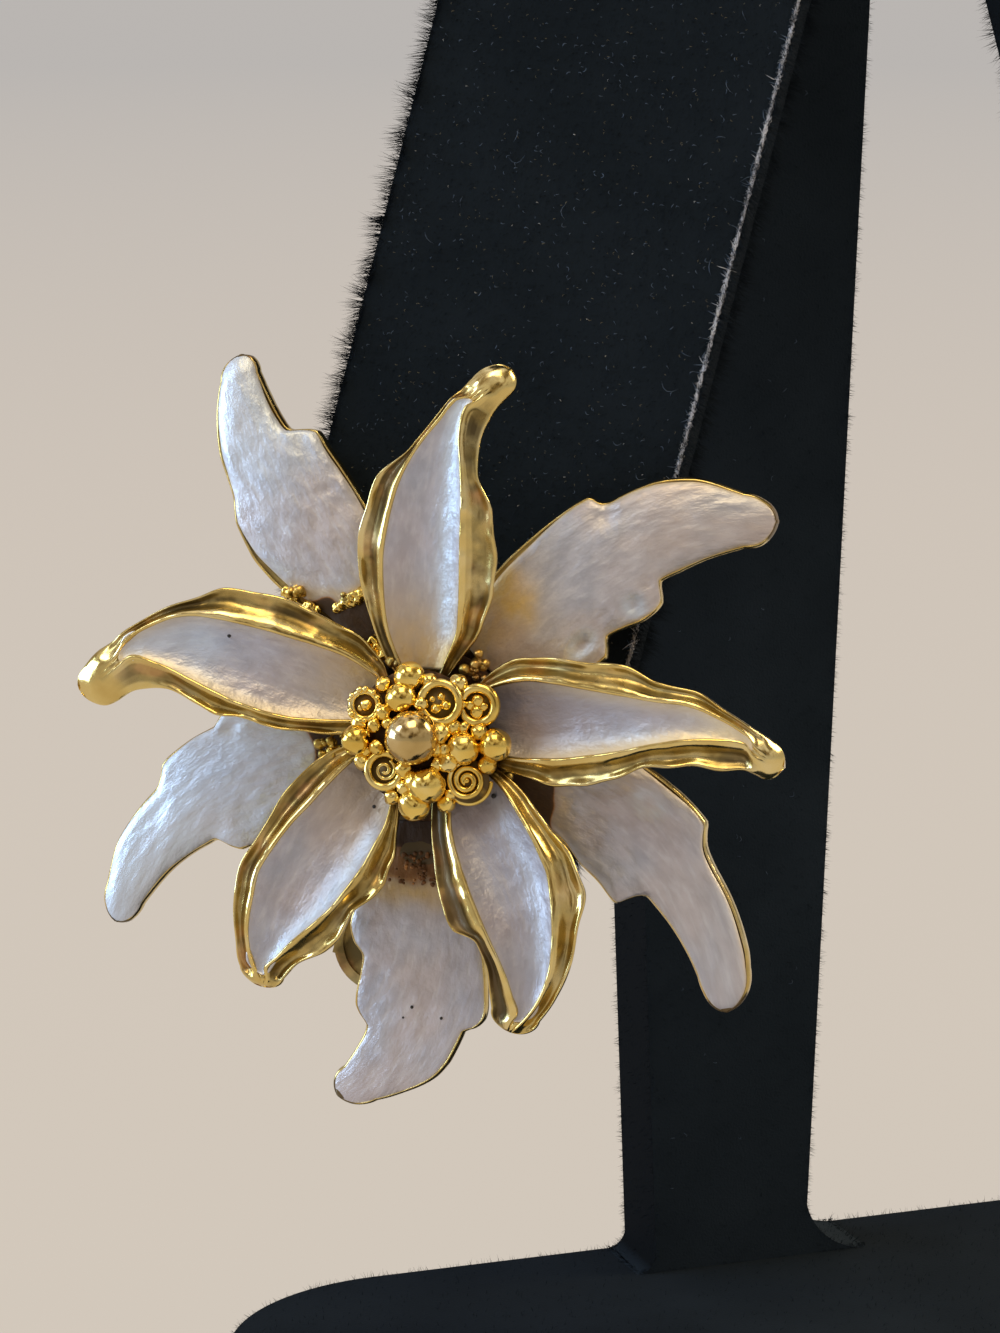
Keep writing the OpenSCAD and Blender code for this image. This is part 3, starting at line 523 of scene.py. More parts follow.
# The valley inside the lip, at the left and at the right: how brown it is, where it lies between
# the lip and the crest, and the share along at which it grows shallow
VALLEY_STAIN = [(1.5, 1.05), (0.8, 1.1), (0.9, 1.0), (0.6, 2.4), (0.8, 0.9)]
VALLEY_AT = [(0.48, 0.48), (0.48, 0.42), (0.48, 0.46), (0.46, 0.36), (0.42, 0.44)]
VALLEY_END = [(1.2, 0.66), (0.8, 1.2), (1.2, 1.2), (1.2, 1.2), (1.2, 1.2)]

# Length of the half-round tip, how much wider it is to either side, and how much further out it
# reaches, in mm
TIP_ROUND = [0.85, 1.0, 0.6, 0.6, 0.8]
TIP_WIDE = [0.18, 0.3, 0.12, 0.05, 0.16]
TIP_OUT = [0.0, 0.15, 0.0, 0.1, -0.15]

# Painted bands of cool highlight in the enamel: share across from the left, width in mm, strength, shares
# along
FRONT_PAINTED_HIGHLIGHTS = [(0.78, 0.65, 0.85, 0.1, 0.9), (0.65, 0.9, 0.45, 0.55, 1.0), (0.12, 0.5, 0.8, 0.15, 0.9),
              (0.24, 0.45, 0.45, 0.05, 0.75), (0.74, 0.45, 0.5, 0.05, 0.55)]

# How much painted shade darkens the enamel at the root, tip, left and right
FRONT_PAINTED_SHADE = [(0.05, 0.0, 0.0, 0.05), (0.1, 0.0, 0.0, 0.0), (0.3, 0.15, 0.1, 0.0),
               (0.5, 0.25, 0.05, 0.25), (0.85, 0.22, 0.12, 0.05)]

# Cream on the enamel: strength at the left and right edge, width in mm, strength at the tip
FRONT_CREAM = [(0.55, 0.75, 0.2, 0.0), (1.0, 0.5, 0.5, 0.05), (0.5, 0.35, 0.22, 0.0),
               (0.6, 0.4, 0.2, 0.0), (0.7, 1.0, 0.6, 0.35)]

# Amber glow at the root: reach in mm, and its strength at the left and right
FRONT_AMBER = [(9.5, 0.75, 1.0), (9.5, 0.3, 1.0), (9.0, 0.8, 0.5), (6.5, 0.2, 0.5), (7.5, 0.15, 0.35)]

# Smudges on the enamel: petal, distance out and to the left in mm, size and strength
SMUDGES = [(4, 5.9, -0.6, 0.9, 0.22), (4, 5.2, -0.2, 0.7, 0.22), (3, 5.0, 0.3, 0.8, 0.16),
           (1, 9.5, 0.4, 0.7, 0.05), (2, 5.2, 0.9, 0.6, 0.14)]


def caged(points):
    """Sections from a list of side and height along the petal for each point round it."""
    return np.stack([np.stack(p, axis=-1) for p in points], axis=1)


def channel_end(petal):
    """Share along at which a front petal's channel closes."""
    return max(row[0] for row in petal[4] if row[-1]) / 1000


def front_metal(i):
    petal = FRONT_PETALS[i]
    length = FRONT_REACH * petal[1]
    tip_share = TIP_ROUND[i] / (length - ROOT)
    t = steps_to_tip(0, 1, FRONT_METAL_ROWS, tip_share)
    a, b, c, d = (smooth_table(petal[4], k, t) * length for k in (1, 2, 3, 4))
    wide = TIP_WIDE[i] * ramp(t, 0.88, 0.97)
    a, d, turn, _ = round_tip(a + wide, d - wide, t, 1, tip_share)
    b, c = np.clip(b, d, a), np.clip(c, d, a)
    h = front_height(t)
    is_open = has_channel(petal, t)
    tip = ramp(t, channel_end(petal) + 0.01, channel_end(petal) + 0.07) * (1 - is_open)
    crest = np.minimum(0.16, (b - c) / 4)
    depth = HOLLOW * (b - c)
    floor = h + 0.1 * tip - 0.04 - is_open * (depth * 0.9 + 0.3)
    belly = np.maximum(depth * is_open + 0.35, 0.45)
    halves, edges = [], []
    for n, (sign, edge, ridge) in enumerate(((1, a, b), (-1, d, c))):
        size = np.clip(sign * (edge - ridge), 0.1, 1)
        edge = edge + sign * 0.1 * waves(30 + 10 * n + i, t * 26) * size * ramp(t, 0.1, 0.25)
        lip = h - LIP_DROP * size + 0.1 * waves(10 + 10 * n + i, t * 30) * size
        keep = 1 - 0.75 * ramp(t, VALLEY_END[i][n] - 0.08, VALLEY_END[i][n] + 0.08)
        valley = h - mix(VALLEY_DROP * keep + 0.14 * waves(50 + 10 * n + i, t * 22), 0.16, tip) * size
        low, wall = VALLEY_AT[i][n], ridge - sign * crest
        halves.append([
            (edge + 0.02 * sign, lip - LIP_T), (edge + 0.07 * sign, lip - 0.12),
            (edge - 0.02 * sign * size, lip + 0.1), (mix(edge, ridge, 0.54 * low), mix(lip, valley, 0.75)),
            (mix(edge, ridge, low), valley), (mix(edge, ridge, low + 0.2), mix(valley, h, 0.35)),
            (mix(edge, ridge, low + 0.36), h - 0.06), (ridge + 0.04 * sign, h + 0.05),
            (ridge - sign * crest * 0.6, h + 0.05), (wall, h - 0.12),
            (wall - 0.03 * sign, mix(h, floor, 0.7))])
        edges.append(edge)
    a, d = edges
    middle = [(mix(b - crest, c + crest, k), floor) for k in (0.25, 0.5, 0.75)]
    points = (halves[0] + middle + halves[1][::-1]
              + [(mix(d, a, k), h - LIP_DROP - LIP_T - belly * deep)
                 for k, deep in ((0.14, 0.45), (0.32, 0.85), (0.5, 1), (0.68, 0.85), (0.86, 0.45))])
    cage = caged(points)
    off = (cage[..., 0] - ((a + d) / 2)[:, None]) / np.maximum((a - d) / 2, 0.05)[:, None]
    around = turn[:, None] ** 2 + (1 - turn[:, None] ** 2) * off ** 2
    dome = (h + 0.16)[:, None] - 0.45 * np.clip(around, 0, 1) ** 1.6
    # The tip is a plain dome from lip to lip
    upper = slice(2, 23)
    cage[:, upper, 1] = mix(cage[:, upper, 1], dome[:, upper], tip[:, None])
    section = closed_spline(cage, SPLINE_STEPS)
    section[..., 1] += 0.022 * waves(65 + i, section[..., 0] * 2.6, t[:, None] * length * 3.4)
    stain = np.zeros((len(t), len(points)))
    # Each valley's points, inwards from the lip
    for side, keys in enumerate((range(2, 7), range(22, 17, -1))):
        along = VALLEY_STAIN[i][side] * (0.7 + 0.3 * ramp(waves(70 + 5 * side + i, t * 15), -0.5, 0.5))
        for k, value in zip(keys, (0.1, 0.75, 1, 0.9, 0.3)):
            stain[:, k] = value * along * (1 - tip)
    stain = np.repeat(stain, SPLINE_STEPS, axis=1)
    stain = np.maximum(stain, 0.8 * (1 - ramp(t, 0.02, 0.2))[:, None])
    rings = petal_points(petal, FRONT_REACH, t + TIP_OUT[i] / length * ramp(t, 0.86, 1), section)
    return loft(f"front_petal_{i + 1}", rings, GOLD, 0.06, attributes={"tarnish": stain},
                slot="gold_tone_metal", replaces=("front_star",))


def skin_grid(t, x0, x1):
    """Shares along and across an enamel skin, close together at its edges, its width and its sides."""
    across = (1 - np.cos(np.linspace(0, 1, SKIN_COLUMNS) * math.pi)) / 2
    tt, ss = np.meshgrid(t, across, indexing="ij")
    return tt, ss, (x0 - x1)[:, None], mix(x0[:, None], x1[:, None], ss)


def skin_section(side, top, ss, h, x0, x1, hollow):
    """A skin's sections, closed by an under side, and each point's share across."""
    k = np.linspace(0, 1, 9)[None, 1:-1]
    low_side = mix(x1[:, None], x0[:, None], k)
    low = h[:, None] - 0.3 - hollow * (x0 - x1)[:, None] * 0.8 * bowl(k)
    section = np.stack([np.hstack([side, low_side]), np.hstack([top, low])], axis=-1)
    return section, np.hstack([ss, np.repeat(1 - k, len(h), 0)])


def texture_place(section, along, first, i):
    """Where the enamel's noise is read: side and distance out, apart for each petal."""
    place = section[..., 0]
    return np.stack([place + first + 7 * i, along + 0 * place, 3.0 * i + 0 * place], axis=-1)


def front_enamel(i):
    petal = FRONT_PETALS[i]
    length = FRONT_REACH * petal[1]
    end = channel_end(petal) + 0.025
    tip_share = 0.9 / (length - ROOT)
    t = steps_to_tip(FRONT_SKIN_START, end, FRONT_SKIN_ROWS, tip_share)
    b, c = (smooth_table(petal[4], k, t) * length for k in (2, 3))
    h = front_height(t)
    spread = 0.05 * ramp(b - c, 0.2, 0.8)
    x0, x1, _, _ = round_tip(b + spread, c - spread, t, end, tip_share)
    tt, ss, width, side = skin_grid(t, x0, x1)
    hollow = HOLLOW * width * (1 - np.abs(2 * ss - 1) ** 2.7)
    roll = 0.17 * (1 - np.minimum(np.minimum(ss, 1 - ss) * width / 0.16, 1)) ** 2
    streak = 0.022 * waves(80 + i, side * 4.6, tt * 9) + 0.03 * waves(90 + i, side * 1.6, tt * 12)
    top = h[:, None] + 0.11 - roll - hollow + streak * np.minimum(width / 3, 1) * bowl(ss) ** 0.5
    section, across = skin_section(side, top, ss, h, x0, x1, HOLLOW)
    along = (ROOT + (length - ROOT) * t)[:, None]
    share = t[:, None]
    reach, left, right = FRONT_AMBER[i]
    amber = (1 - ramp(along, 3.6, reach)) * mix(left, right, across)
    left, right, band, tip = FRONT_CREAM[i]
    rim = (left * np.exp(-((across * width) / band) ** 2)
           + right * np.exp(-(((1 - across) * width) / band) ** 2))
    rim = rim * (0.25 + 0.75 * ramp(share, 0.08, 0.4)) + tip * ramp(share, 0.55, end)
    smudge = np.zeros(across.shape)
    for p, where, off, size, amount in SMUDGES:
        if p == i:
            far = ((along - where) / size) ** 2 + ((section[..., 0] - off) / size) ** 2
            smudge = np.maximum(smudge, amount * np.exp(-far))
    # A painted band of cool highlight along the enamel
    centre, wide, strength, first, last = FRONT_PAINTED_HIGHLIGHTS[i]
    painted_cool_highlight = (strength * np.exp(-((across - centre) * width / wide) ** 2) * ramp(share, first, first + 0.12)
            * (1 - ramp(share, last, last + 0.15)))
    # Painted shade over the enamel, from root to tip and from left to right
    root, far_end, left, right = FRONT_PAINTED_SHADE[i]
    shade = mix(root, far_end, ramp(share, 0.1, 0.7)) + mix(left, right, across)
    rings = petal_points(petal, FRONT_REACH, t, section)
    return loft(f"front_enamel_skin_{i + 1}", rings, FRONT_ENAMEL, 0.15,
                attributes={"petal": texture_place(section, along, 0, i), "amber": amber,
                            "edge": np.clip(rim, 0, 1), "stain": smudge, "painted_cool_highlight": painted_cool_highlight, "shade": shade},
                slot="pearl_enamel", replaces=(f"front_enamel_{i + 1}",))


# Back star, whose table and lists of five give a value or a row for each petal
def back_height(t):
    return BACK_LEVEL + BACK_RISE * np.sin(np.radians(162 * t)) - BACK_TIP_DROP * t * t


# Gold rim that shows round the enamel: width in mm at the left and at the right, and how much
# wider it is at the left of the root
BACK_RIMS = [(0.15, 0.19, 0.32), (0.08, 0.07, 0.0), (0.1, 0.09, 0.0), (0.17, 0.08, 0.0), (0.13, 0.1, 0.18)]

# Height of the enamel's round edge and of its crown across, length of its half-round tip, and
# height of the fine wrinkles in its outer part, in mm
BACK_EDGE = [0.2, 0.2, 0.12, 0.2, 0.2]
BACK_CROWN = [0.5, 0.45, 0.12, 0.4, 0.5]
BACK_ROUND = [1.0, 0.85, 0.9, 1.0, 1.1]
BACK_WRINKLES = [0.006, 0.01, 0.006, 0.012, 0.022]

# How cream the enamel's edge is
BACK_CREAM = [0.3, 0.2, 0.3, 0.5, 0.75]

# How much painted cool highlight the enamel has at the left and at the right, and how much more at the tip
BACK_PAINTED_HIGHLIGHTS = [(0.12, 0.0, 0.5), (0.4, 0.5, 0.25), (0.0, 0.0, 0.0), (0.0, 0.0, 0.12), (0.0, 0.0, 0.0)]

# Painted shade at the root, where the front star shades the back petals: how its end leans at the left
# and at the right, how far out it is full and gone in mm, and how strong the rusty stretch in between is
BACK_ROOT_SHADE_AND_RUST = [(0.9, 0.0, 7.5, 8.1, 0), (0.0, 0.0, 5.7, 6.3, 0), (0.0, 0.0, 5.7, 8.1, 0.5),
              (-0.36, -0.36, 6.8, 7.7, 0.3), (0.0, 0.0, 4.2, 7.9, 0.22)]

# Amber glow past the painted root shade: strength at the left and right, width in mm, and painted warm light
# at the tip
BACK_AMBER = [(0.45, 0.95, 0.6, 0.0), (0.3, 0.3, 0.6, 0.0), (0.8, 0.8, 0.8, 0.03), (0.3, 0.3, 0.5, 0.05),
              (1.0, 0.2, 1.4, 0.16)]

# Dimples in the enamel: petal, along, side as a share of the length, radii and depth in mm
DIMPLES = [
    (0, 0.71, -0.085, 0.35, 0.9, 0.14), (0, 0.57, -0.095, 0.55, 0.3, 0.08), (0, 0.63, 0.1, 0.5, 0.8, 0.08),
    (1, 0.66, 0.1, 0.5, 0.6, 0.1), (1, 0.46, -0.125, 0.25, 0.4, 0.14), (1, 0.76, -0.05, 0.5, 0.9, 0.08),
    (1, 0.55, 0.12, 0.5, 0.8, 0.08), (2, 0.7, 0.06, 0.45, 0.4, 0.12), (2, 0.62, -0.1, 0.5, 0.7, 0.1),
    (2, 0.8, 0.03, 0.8, 0.5, 0.1), (2, 0.88, 0.02, 0.8, 0.35, 0.08), (3, 0.55, 0.08, 0.7, 0.7, 0.22),
    (3, 0.68, -0.12, 0.5, 0.6, 0.16), (3, 0.45, -0.06, 0.8, 0.8, 0.12), (4, 0.585, -0.13, 0.6, 0.6, 0.24),
    (4, 0.64, 0.1, 0.5, 0.5, 0.16), (4, 0.46, -0.1, 0.7, 0.7, 0.16), (4, 0.42, 0.06, 0.9, 1.2, 0.1),
    (4, 0.375, -0.125, 0.45, 0.7, 0.26), (4, 0.655, -0.1, 0.3, 0.4, 0.14),
]

# Painted silvery highlights, in rings, on the enamel: petal, along, side as a share of the length, radii in
# mm, strength
PAINTED_SILVER_HIGHLIGHTS = [(4, 0.375, -0.125, 0.5, 0.75, 0.55), (4, 0.585, -0.13, 0.45, 0.5, 0.5),
                (3, 0.55, 0.08, 0.5, 0.6, 0.35)]


def back_metal(i):
    petal = BACK_PETALS[i]
    length = BACK_REACH * petal[1]
    tip_share = BACK_ROUND[i] / (length - ROOT)
    t = steps_to_tip(0, 1, BACK_METAL_ROWS, tip_share)
    a, d = (smooth_table(petal[4], k, t) * length for k in (1, 2))
    a, d, _, _ = round_tip(a, d, t, 1, tip_share)
    h = back_height(t)
    rim = np.minimum(0.2, (a - d) / 5)
    dip = has_channel(petal, t)
    rise = CAMBER * np.minimum(1, (a - d) / 4)
    bare = (1 - dip) * 0.1 * waves(130 + i, t * 30)
    flat = h + rise * 0.5 - 0.42 * dip + bare
    halves = [[(edge + 0.01 * sign, h - PLATE_T + 0.06), (edge + 0.05 * sign, h - PLATE_T * 0.55),
               (edge + 0.04 * sign, h - 0.16), (edge - sign * rim * 0.25, h + 0.05),
               (edge - sign * rim * 0.75, h + 0.03), (edge - sign * rim * 1.1, h - 0.2 * dip)]
              for sign, edge in ((1, a), (-1, d))]
    points = (halves[0] + [(mix(a, d, 0.25), flat), (mix(a, d, 0.5), h + rise * 0.8 - 0.42 * dip + bare),
                           (mix(a, d, 0.75), flat)] + halves[1][::-1]
              + [(mix(d, a, 0.15), h - PLATE_T), (mix(d, a, 0.5), h - PLATE_T + rise * 0.5),
                 (mix(d, a, 0.85), h - PLATE_T)])
    section = closed_spline(caged(points), SPLINE_STEPS)
    stain = np.maximum(np.full(section.shape[:2], 0.25), (1 - dip)[:, None] * 2.5)
    rings = petal_points(petal, BACK_REACH, t, section)
    rings[..., 0] += BACK_SHIFT
    return loft(f"back_petal_{i + 1}", rings, GOLD, 0.06, attributes={"tarnish": stain},
                slot="gold_tone_metal", replaces=("back_star",))


def smoothed_edges(rows, length, t):
    """The middle and half width of a back petal without its teeth, at shares t."""
    even = np.linspace(0, 1, 201)
    window = np.hanning(33) / np.hanning(33).sum()
    a, d = (np.convolve(np.pad(smooth_table(rows, k, even) * length, 16, "edge"), window, "valid")
            for k in (1, 2))
    return np.interp(t, even, (a + d) / 2)[:, None], np.interp(t, even, (a - d) / 2)[:, None]


def spot_distances(spots, i, along, side, length):
    """How far points are from each of a petal's spots, in the spot's radii squared, and its strength."""
    for p, share, off, across, out, strength in spots:
        if p == i:
            centre = ROOT + (length - ROOT) * share
            yield ((along - centre) / out) ** 2 + ((side - off * length) / across) ** 2, strength


def back_enamel(i):
    petal = BACK_PETALS[i]
    length = BACK_REACH * petal[1]
    tip_share = BACK_ROUND[i] / (length - ROOT)
    t = steps_to_tip(BACK_SKIN_START, BACK_SKIN_END, BACK_SKIN_ROWS, tip_share)
    a, d = (smooth_table(petal[4], k, t) * length for k in (1, 2))
    mid_even, half_even = smoothed_edges(petal[4], length, t)
    a, d, turn, whole = round_tip(a, d, t, BACK_SKIN_END, tip_share)
    turn, whole = turn[:, None], whole[:, None]
    h = back_height(t)
    left, right, wider = BACK_RIMS[i]
    left = left + wider * (1 - ramp(t, 0.42, 0.6))
    x0, x1 = (edge - sign * np.clip((rim + 0.05 * waves(seed + i, t * 22)) * np.minimum(1, (a - d) / 3),
                                    0, (a - d) / 3)
              for sign, edge, rim, seed in ((1, a, left, 140), (-1, d, right, 150)))
    tt, ss, width, side = skin_grid(t, x0, x1)
    edge = whole * (1 - np.sqrt(turn ** 2 + (1 - turn ** 2) * (2 * ss - 1) ** 2))
    dome = BACK_EDGE[i] * np.sqrt(np.clip(1 - (1 - np.minimum(edge / 0.55, 1)) ** 2, 0, 1))
    off = np.clip((side - mid_even) / half_even, -1, 1)
    camber = BACK_CROWN[i] * np.minimum(1, half_even / 2) * (1 - off * off) * (1 - turn ** 2)
    along = (ROOT + (length - ROOT) * t)[:, None]
    aa = along + 0 * side
    lumps = 0.05 * waves(160 + i, side * 1.3, aa * 0.9) + 0.02 * waves(170 + i, side * 4.2, aa * 2.2)
    lumps = lumps + BACK_WRINKLES[i] * waves(175 + i, side * 6.5, aa * 2.0) * ramp(tt, 0.35, 0.6)
    top = h[:, None] - 0.03 + dome + camber + lumps * np.minimum(1, edge / 0.5) * np.minimum(1, width / 3)
    for far, deep in spot_distances(DIMPLES, i, aa, side, length):
        top = top - deep * (np.exp(-far) - 0.12 * np.exp(-4 * (np.sqrt(far) - 1.6) ** 2))
    section, across = skin_section(side, top, ss, h, x0, x1, 0)
    rings = petal_points(petal, BACK_REACH, t, section)
    rings[..., 0] += BACK_SHIFT
    place = section[..., 0]
    to_left = ramp(place, -1.5, 1.5)
    # Painted shade at the root, under the front star, and past it a stretch of rust
    left, right, full, gone, rust = BACK_ROOT_SHADE_AND_RUST[i]
    ragged = 0.28 * waves(180 + i, place * 2.3, along * 2.1)
    reach = (along - left * np.maximum(place, 0) - right * np.minimum(place, 0)) + ragged
    stain = np.maximum(1 - ramp(reach, full, full + 0.5), rust * (1 - ramp(reach, gone - 0.9, gone)))
    left, right, wide, tip = BACK_AMBER[i]
    # Amber past the root, and painted warm lamp light at the tip
    amber = (mix(right, left, to_left) * np.exp(-(np.maximum(reach - gone, 0) / wide) ** 2)
             + tip * ramp(t, 0.45, 0.85)[:, None])
    rim = np.exp(-((np.minimum(across, 1 - across) * width) / 0.1) ** 2)
    # Painted cool highlight at the left, the right and the tip
    left, right, tip = BACK_PAINTED_HIGHLIGHTS[i]
    painted_cool_highlight = mix(right, left, to_left) + tip * ramp(t, 0.55, 0.8)[:, None]
    # Painted silvery highlights in rings round the given spots
    for far, strength in spot_distances(PAINTED_SILVER_HIGHLIGHTS, i, along, place, length):
        painted_cool_highlight = painted_cool_highlight + strength * np.exp(-3 * (np.sqrt(far) - 0.9) ** 2)
    return loft(f"back_enamel_skin_{i + 1}", rings, BACK_ENAMEL, 0.05, start_radius=0.12,
                attributes={"petal": texture_place(section, along, 40, i), "amber": amber,
                            "edge": BACK_CREAM[i] * rim, "stain": stain, "painted_cool_highlight": painted_cool_highlight, "shade": 0 * place},
                slot="pearl_enamel", replaces=(f"back_enamel_{i + 1}",))


for number in range(5):
    front_metal(number)
    front_enamel(number)
    back_metal(number)
    back_enamel(number)


# Round pieces
def circle(centre, radius, angles):
    """Points of a flat circle at angles in radians."""
    return np.stack([centre[0] + radius * np.cos(angles), centre[1] + radius * np.sin(angles),
                     centre[2] + 0 * angles], axis=-1)


def ball(centre, radius, segments=28, rings=16, squash=1.0, lump=0.0, seed=0):
    """Points and faces of a ball in the flower's frame."""
    angles = 2 * math.pi * np.arange(segments) / segments
    verts = [[(0, 0, 1)]]
    for r in range(1, rings):
        polar = math.pi * r / rings
        verts.append(circle((0, 0, math.cos(polar)), math.sin(polar), angles))
    verts = np.concatenate(verts + [[(0, 0, -1)]])
    size = radius * (1 + lump * waves(seed, *(verts.T * 3.0)))
    verts = verts * size[:, None] * np.array([1, 1, squash]) + np.array(centre)
    last = len(verts) - 1
    faces = [tuple(1 + k for k in face) for face in ring_faces(rings - 1, segments)[:-2]]
    for k in range(segments):
        j = (k + 1) % segments
        faces += [(0, 1 + k, 1 + j), (last, last - segments + j, last - segments + k)]
    return verts, faces


def wire(path, radius, sides=12, closed=False, taper=1.0):
    """Points and faces of a round wire along a path of the flower's frame."""
    ahead = np.roll(path, -1, axis=0) - np.roll(path, 1, axis=0)
    if not closed:
        ahead[0], ahead[-1] = path[1] - path[0], path[-1] - path[-2]
    ahead /= np.linalg.norm(ahead, axis=1)[:, None]
    across = np.cross(ahead, [0.0, 0.0, 1.0])
    across /= np.maximum(np.linalg.norm(across, axis=1), 1e-9)[:, None]
    other = np.cross(across, ahead)
    angle = np.linspace(0, 2 * math.pi, sides, endpoint=False)[None, :, None]
    thick = (radius * taper * np.ones(len(path)))[:, None, None]
    verts = path[:, None] + thick * (np.cos(angle) * across[:, None] + np.sin(angle) * other[:, None])
    return verts.reshape(-1, 3), ring_faces(len(path), sides, closed, flip=True)


def turned(profile, centre, sides=40):
    """A solid of revolution about the flower's z: profile is (radius, height) from top to bottom."""
    angles = 2 * math.pi * np.arange(sides) / sides
    verts = [circle((centre[0], centre[1], centre[2] + z), r, angles) for r, z in profile]
    return np.concatenate(verts), ring_faces(len(profile), sides)


def arc(centre, radius, start, turn, count=40, pull=0.0):
    """A bent path about the flower's z, in degrees, which may draw in along its way."""
    k = np.linspace(0, 1, count)
    return circle(centre, radius - pull * k, np.radians(start + turn * k))


def at_angle(angle, far, z, shift=0.0):
    """A place from its angle in radians and distance about the flower's z."""
    return far * math.cos(angle) + shift, far * math.sin(angle), z


def merged(parts):
    """One list of points and faces from several."""
    verts, faces, start = [], [], 0
    for v, f in parts:
        verts.append(v)
        faces += [tuple(start + k for k in face) for face in f]
        start += len(v)
    return np.concatenate(verts), faces


def flower_piece(name, parts, material, node, tarnish=0.0, bright_above=None):
    """A metal piece of the flower that stands for a node, dark below a height if one is given."""
    verts, faces = merged(parts)
    values = np.full(len(verts), float(tarnish))
    if bright_above is not None:
        values = np.maximum(values, 1 - ramp(verts[:, 2], bright_above - 0.5, bright_above))
    return mesh_object(name, in_flower(verts), faces, material, {"tarnish": values}, slot="gold_tone_metal",
                       replaces=(node,))


# Stamens that are cups: x and y as shares of the cluster's radius, height, radius, and what it is
STAMEN_CUPS = [(-0.62, 0.38, 2.2, 0.96, "beaded"), (0.33, 0.42, 2.7, 1.2, "cup"),
               (0.77, 0.38, 2.2, 1.14, "hook"), (0.63, -0.52, 2.2, 1.14, "spiral"),
               (-0.38, -0.4, 2.25, 1.08, "curl")]

# Stamens that are balls: x and y in hundredths of the cluster's radius, height and radius in
# hundredths of a mm
STAMEN_BALLS = [
    (-7, 72, 220, 80), (-15, 47, 255, 82), (-72, -4, 220, 80), (15, -57, 245, 98), (2, -52, 275, 50),
    (-2, -82, 210, 84), (97, -9, 215, 86), (60, -13, 245, 86), (80, 7, 255, 42), (-36, 30, 265, 44),
    (-30, 17, 275, 34), (-48, 14, 250, 40), (-45, -12, 260, 42), (33, 6, 270, 55), (40, -30, 240, 55),
    (-12, -38, 245, 50), (52, 64, 205, 50), (17, 66, 210, 45), (-40, 62, 195, 45), (-70, 16, 195, 50),
    (-66, -30, 195, 48), (36, -80, 190, 48), (-30, -72, 190, 45), (86, -33, 195, 50), (47, 12, 235, 44),
    (60, 12, 225, 36), (27, -14, 260, 40), (36, -14, 245, 36), (28, -32, 250, 36), (-13, -60, 230, 42),
    (-60, 2, 225, 36), (-60, -16, 220, 34), (10, 40, 270, 40), (56, 40, 230, 34), (42, -68, 200, 34),
    (64, -24, 230, 36),
]
CENTRE_BALL = (0.01 * CLUSTER_R, 0, 3.2, 1.38)
CUP_WALL = 0.22

# Grains in the cups: x, y and depth from the cup's middle, radius, segments, rings, lump and seed
CUP_GRAINS = {
    "beaded": [(0.05, 0, 0.1, 0.34, 20, 12, 0.1, 9), (-0.26, -0.15, 0.2, 0.22, 16, 10, 0.1, 8)],
    "cup": [(x, y, 0.15, r, 18, 12, 0.12, 41) for x, y, r in (
        (-0.25, -0.3, 0.3), (0.28, -0.12, 0.3), (0.05, 0.32, 0.24), (-0.42, 0.18, 0.2))],
    "hook": [(x, y, 0.02, r, 18, 12, 0.12, 52) for x, y, r in (
        (0.0, 0.25, 0.33), (-0.05, -0.32, 0.36), (0.3, -0.05, 0.24), (-0.4, 0.02, 0.26))],
    "spiral": [],
    "curl": [],
}


def cup_rims(x, y, z, r, form):
    """The rim of a cup, as its form has it."""
    centre = (x, y, z)
    whole_turn = 2 * math.pi * np.arange(40) / 40
    if form == "beaded":
        rims = [wire(circle(centre, r - 0.26, whole_turn), 0.17, closed=True)]
        beads = 13
        for k in range(beads):
            a = 2 * math.pi * (k + 0.25 * math.sin(3 * k)) / beads
            rims.append(ball((x + (r - 0.16) * math.cos(a), y + (r - 0.16) * math.sin(a), z + 0.08),
                             0.17 + 0.03 * math.sin(5 * k), 14, 8))
        return rims
    if form == "cup":
        return [wire(circle(centre, r - CUP_WALL, whole_turn), CUP_WALL, 16, closed=True)]
    if form == "hook":
        taper = 0.55 + 0.45 * np.sin(math.pi * np.linspace(0, 1, 60)) ** 0.5
        return [wire(arc(centre, r - 0.26, 205, -395, 60), 0.27, 16, taper=taper)]
    if form == "spiral":
        return [wire(arc(centre, r - 0.17, 100, 860, 130, pull=r - 0.3), 0.145), ball(centre, 0.16, 14, 8),
                wire(arc((x, y - 0.05, z - 0.42), r - 0.02, 190, 170), 0.14)]
    return [wire(arc(centre, r - CUP_WALL, 20, -330, 60), CUP_WALL * 0.95, 14),
            wire(arc((x, y, z - 0.12), r - 0.52, 60, -560, 80, pull=0.45), 0.11)]


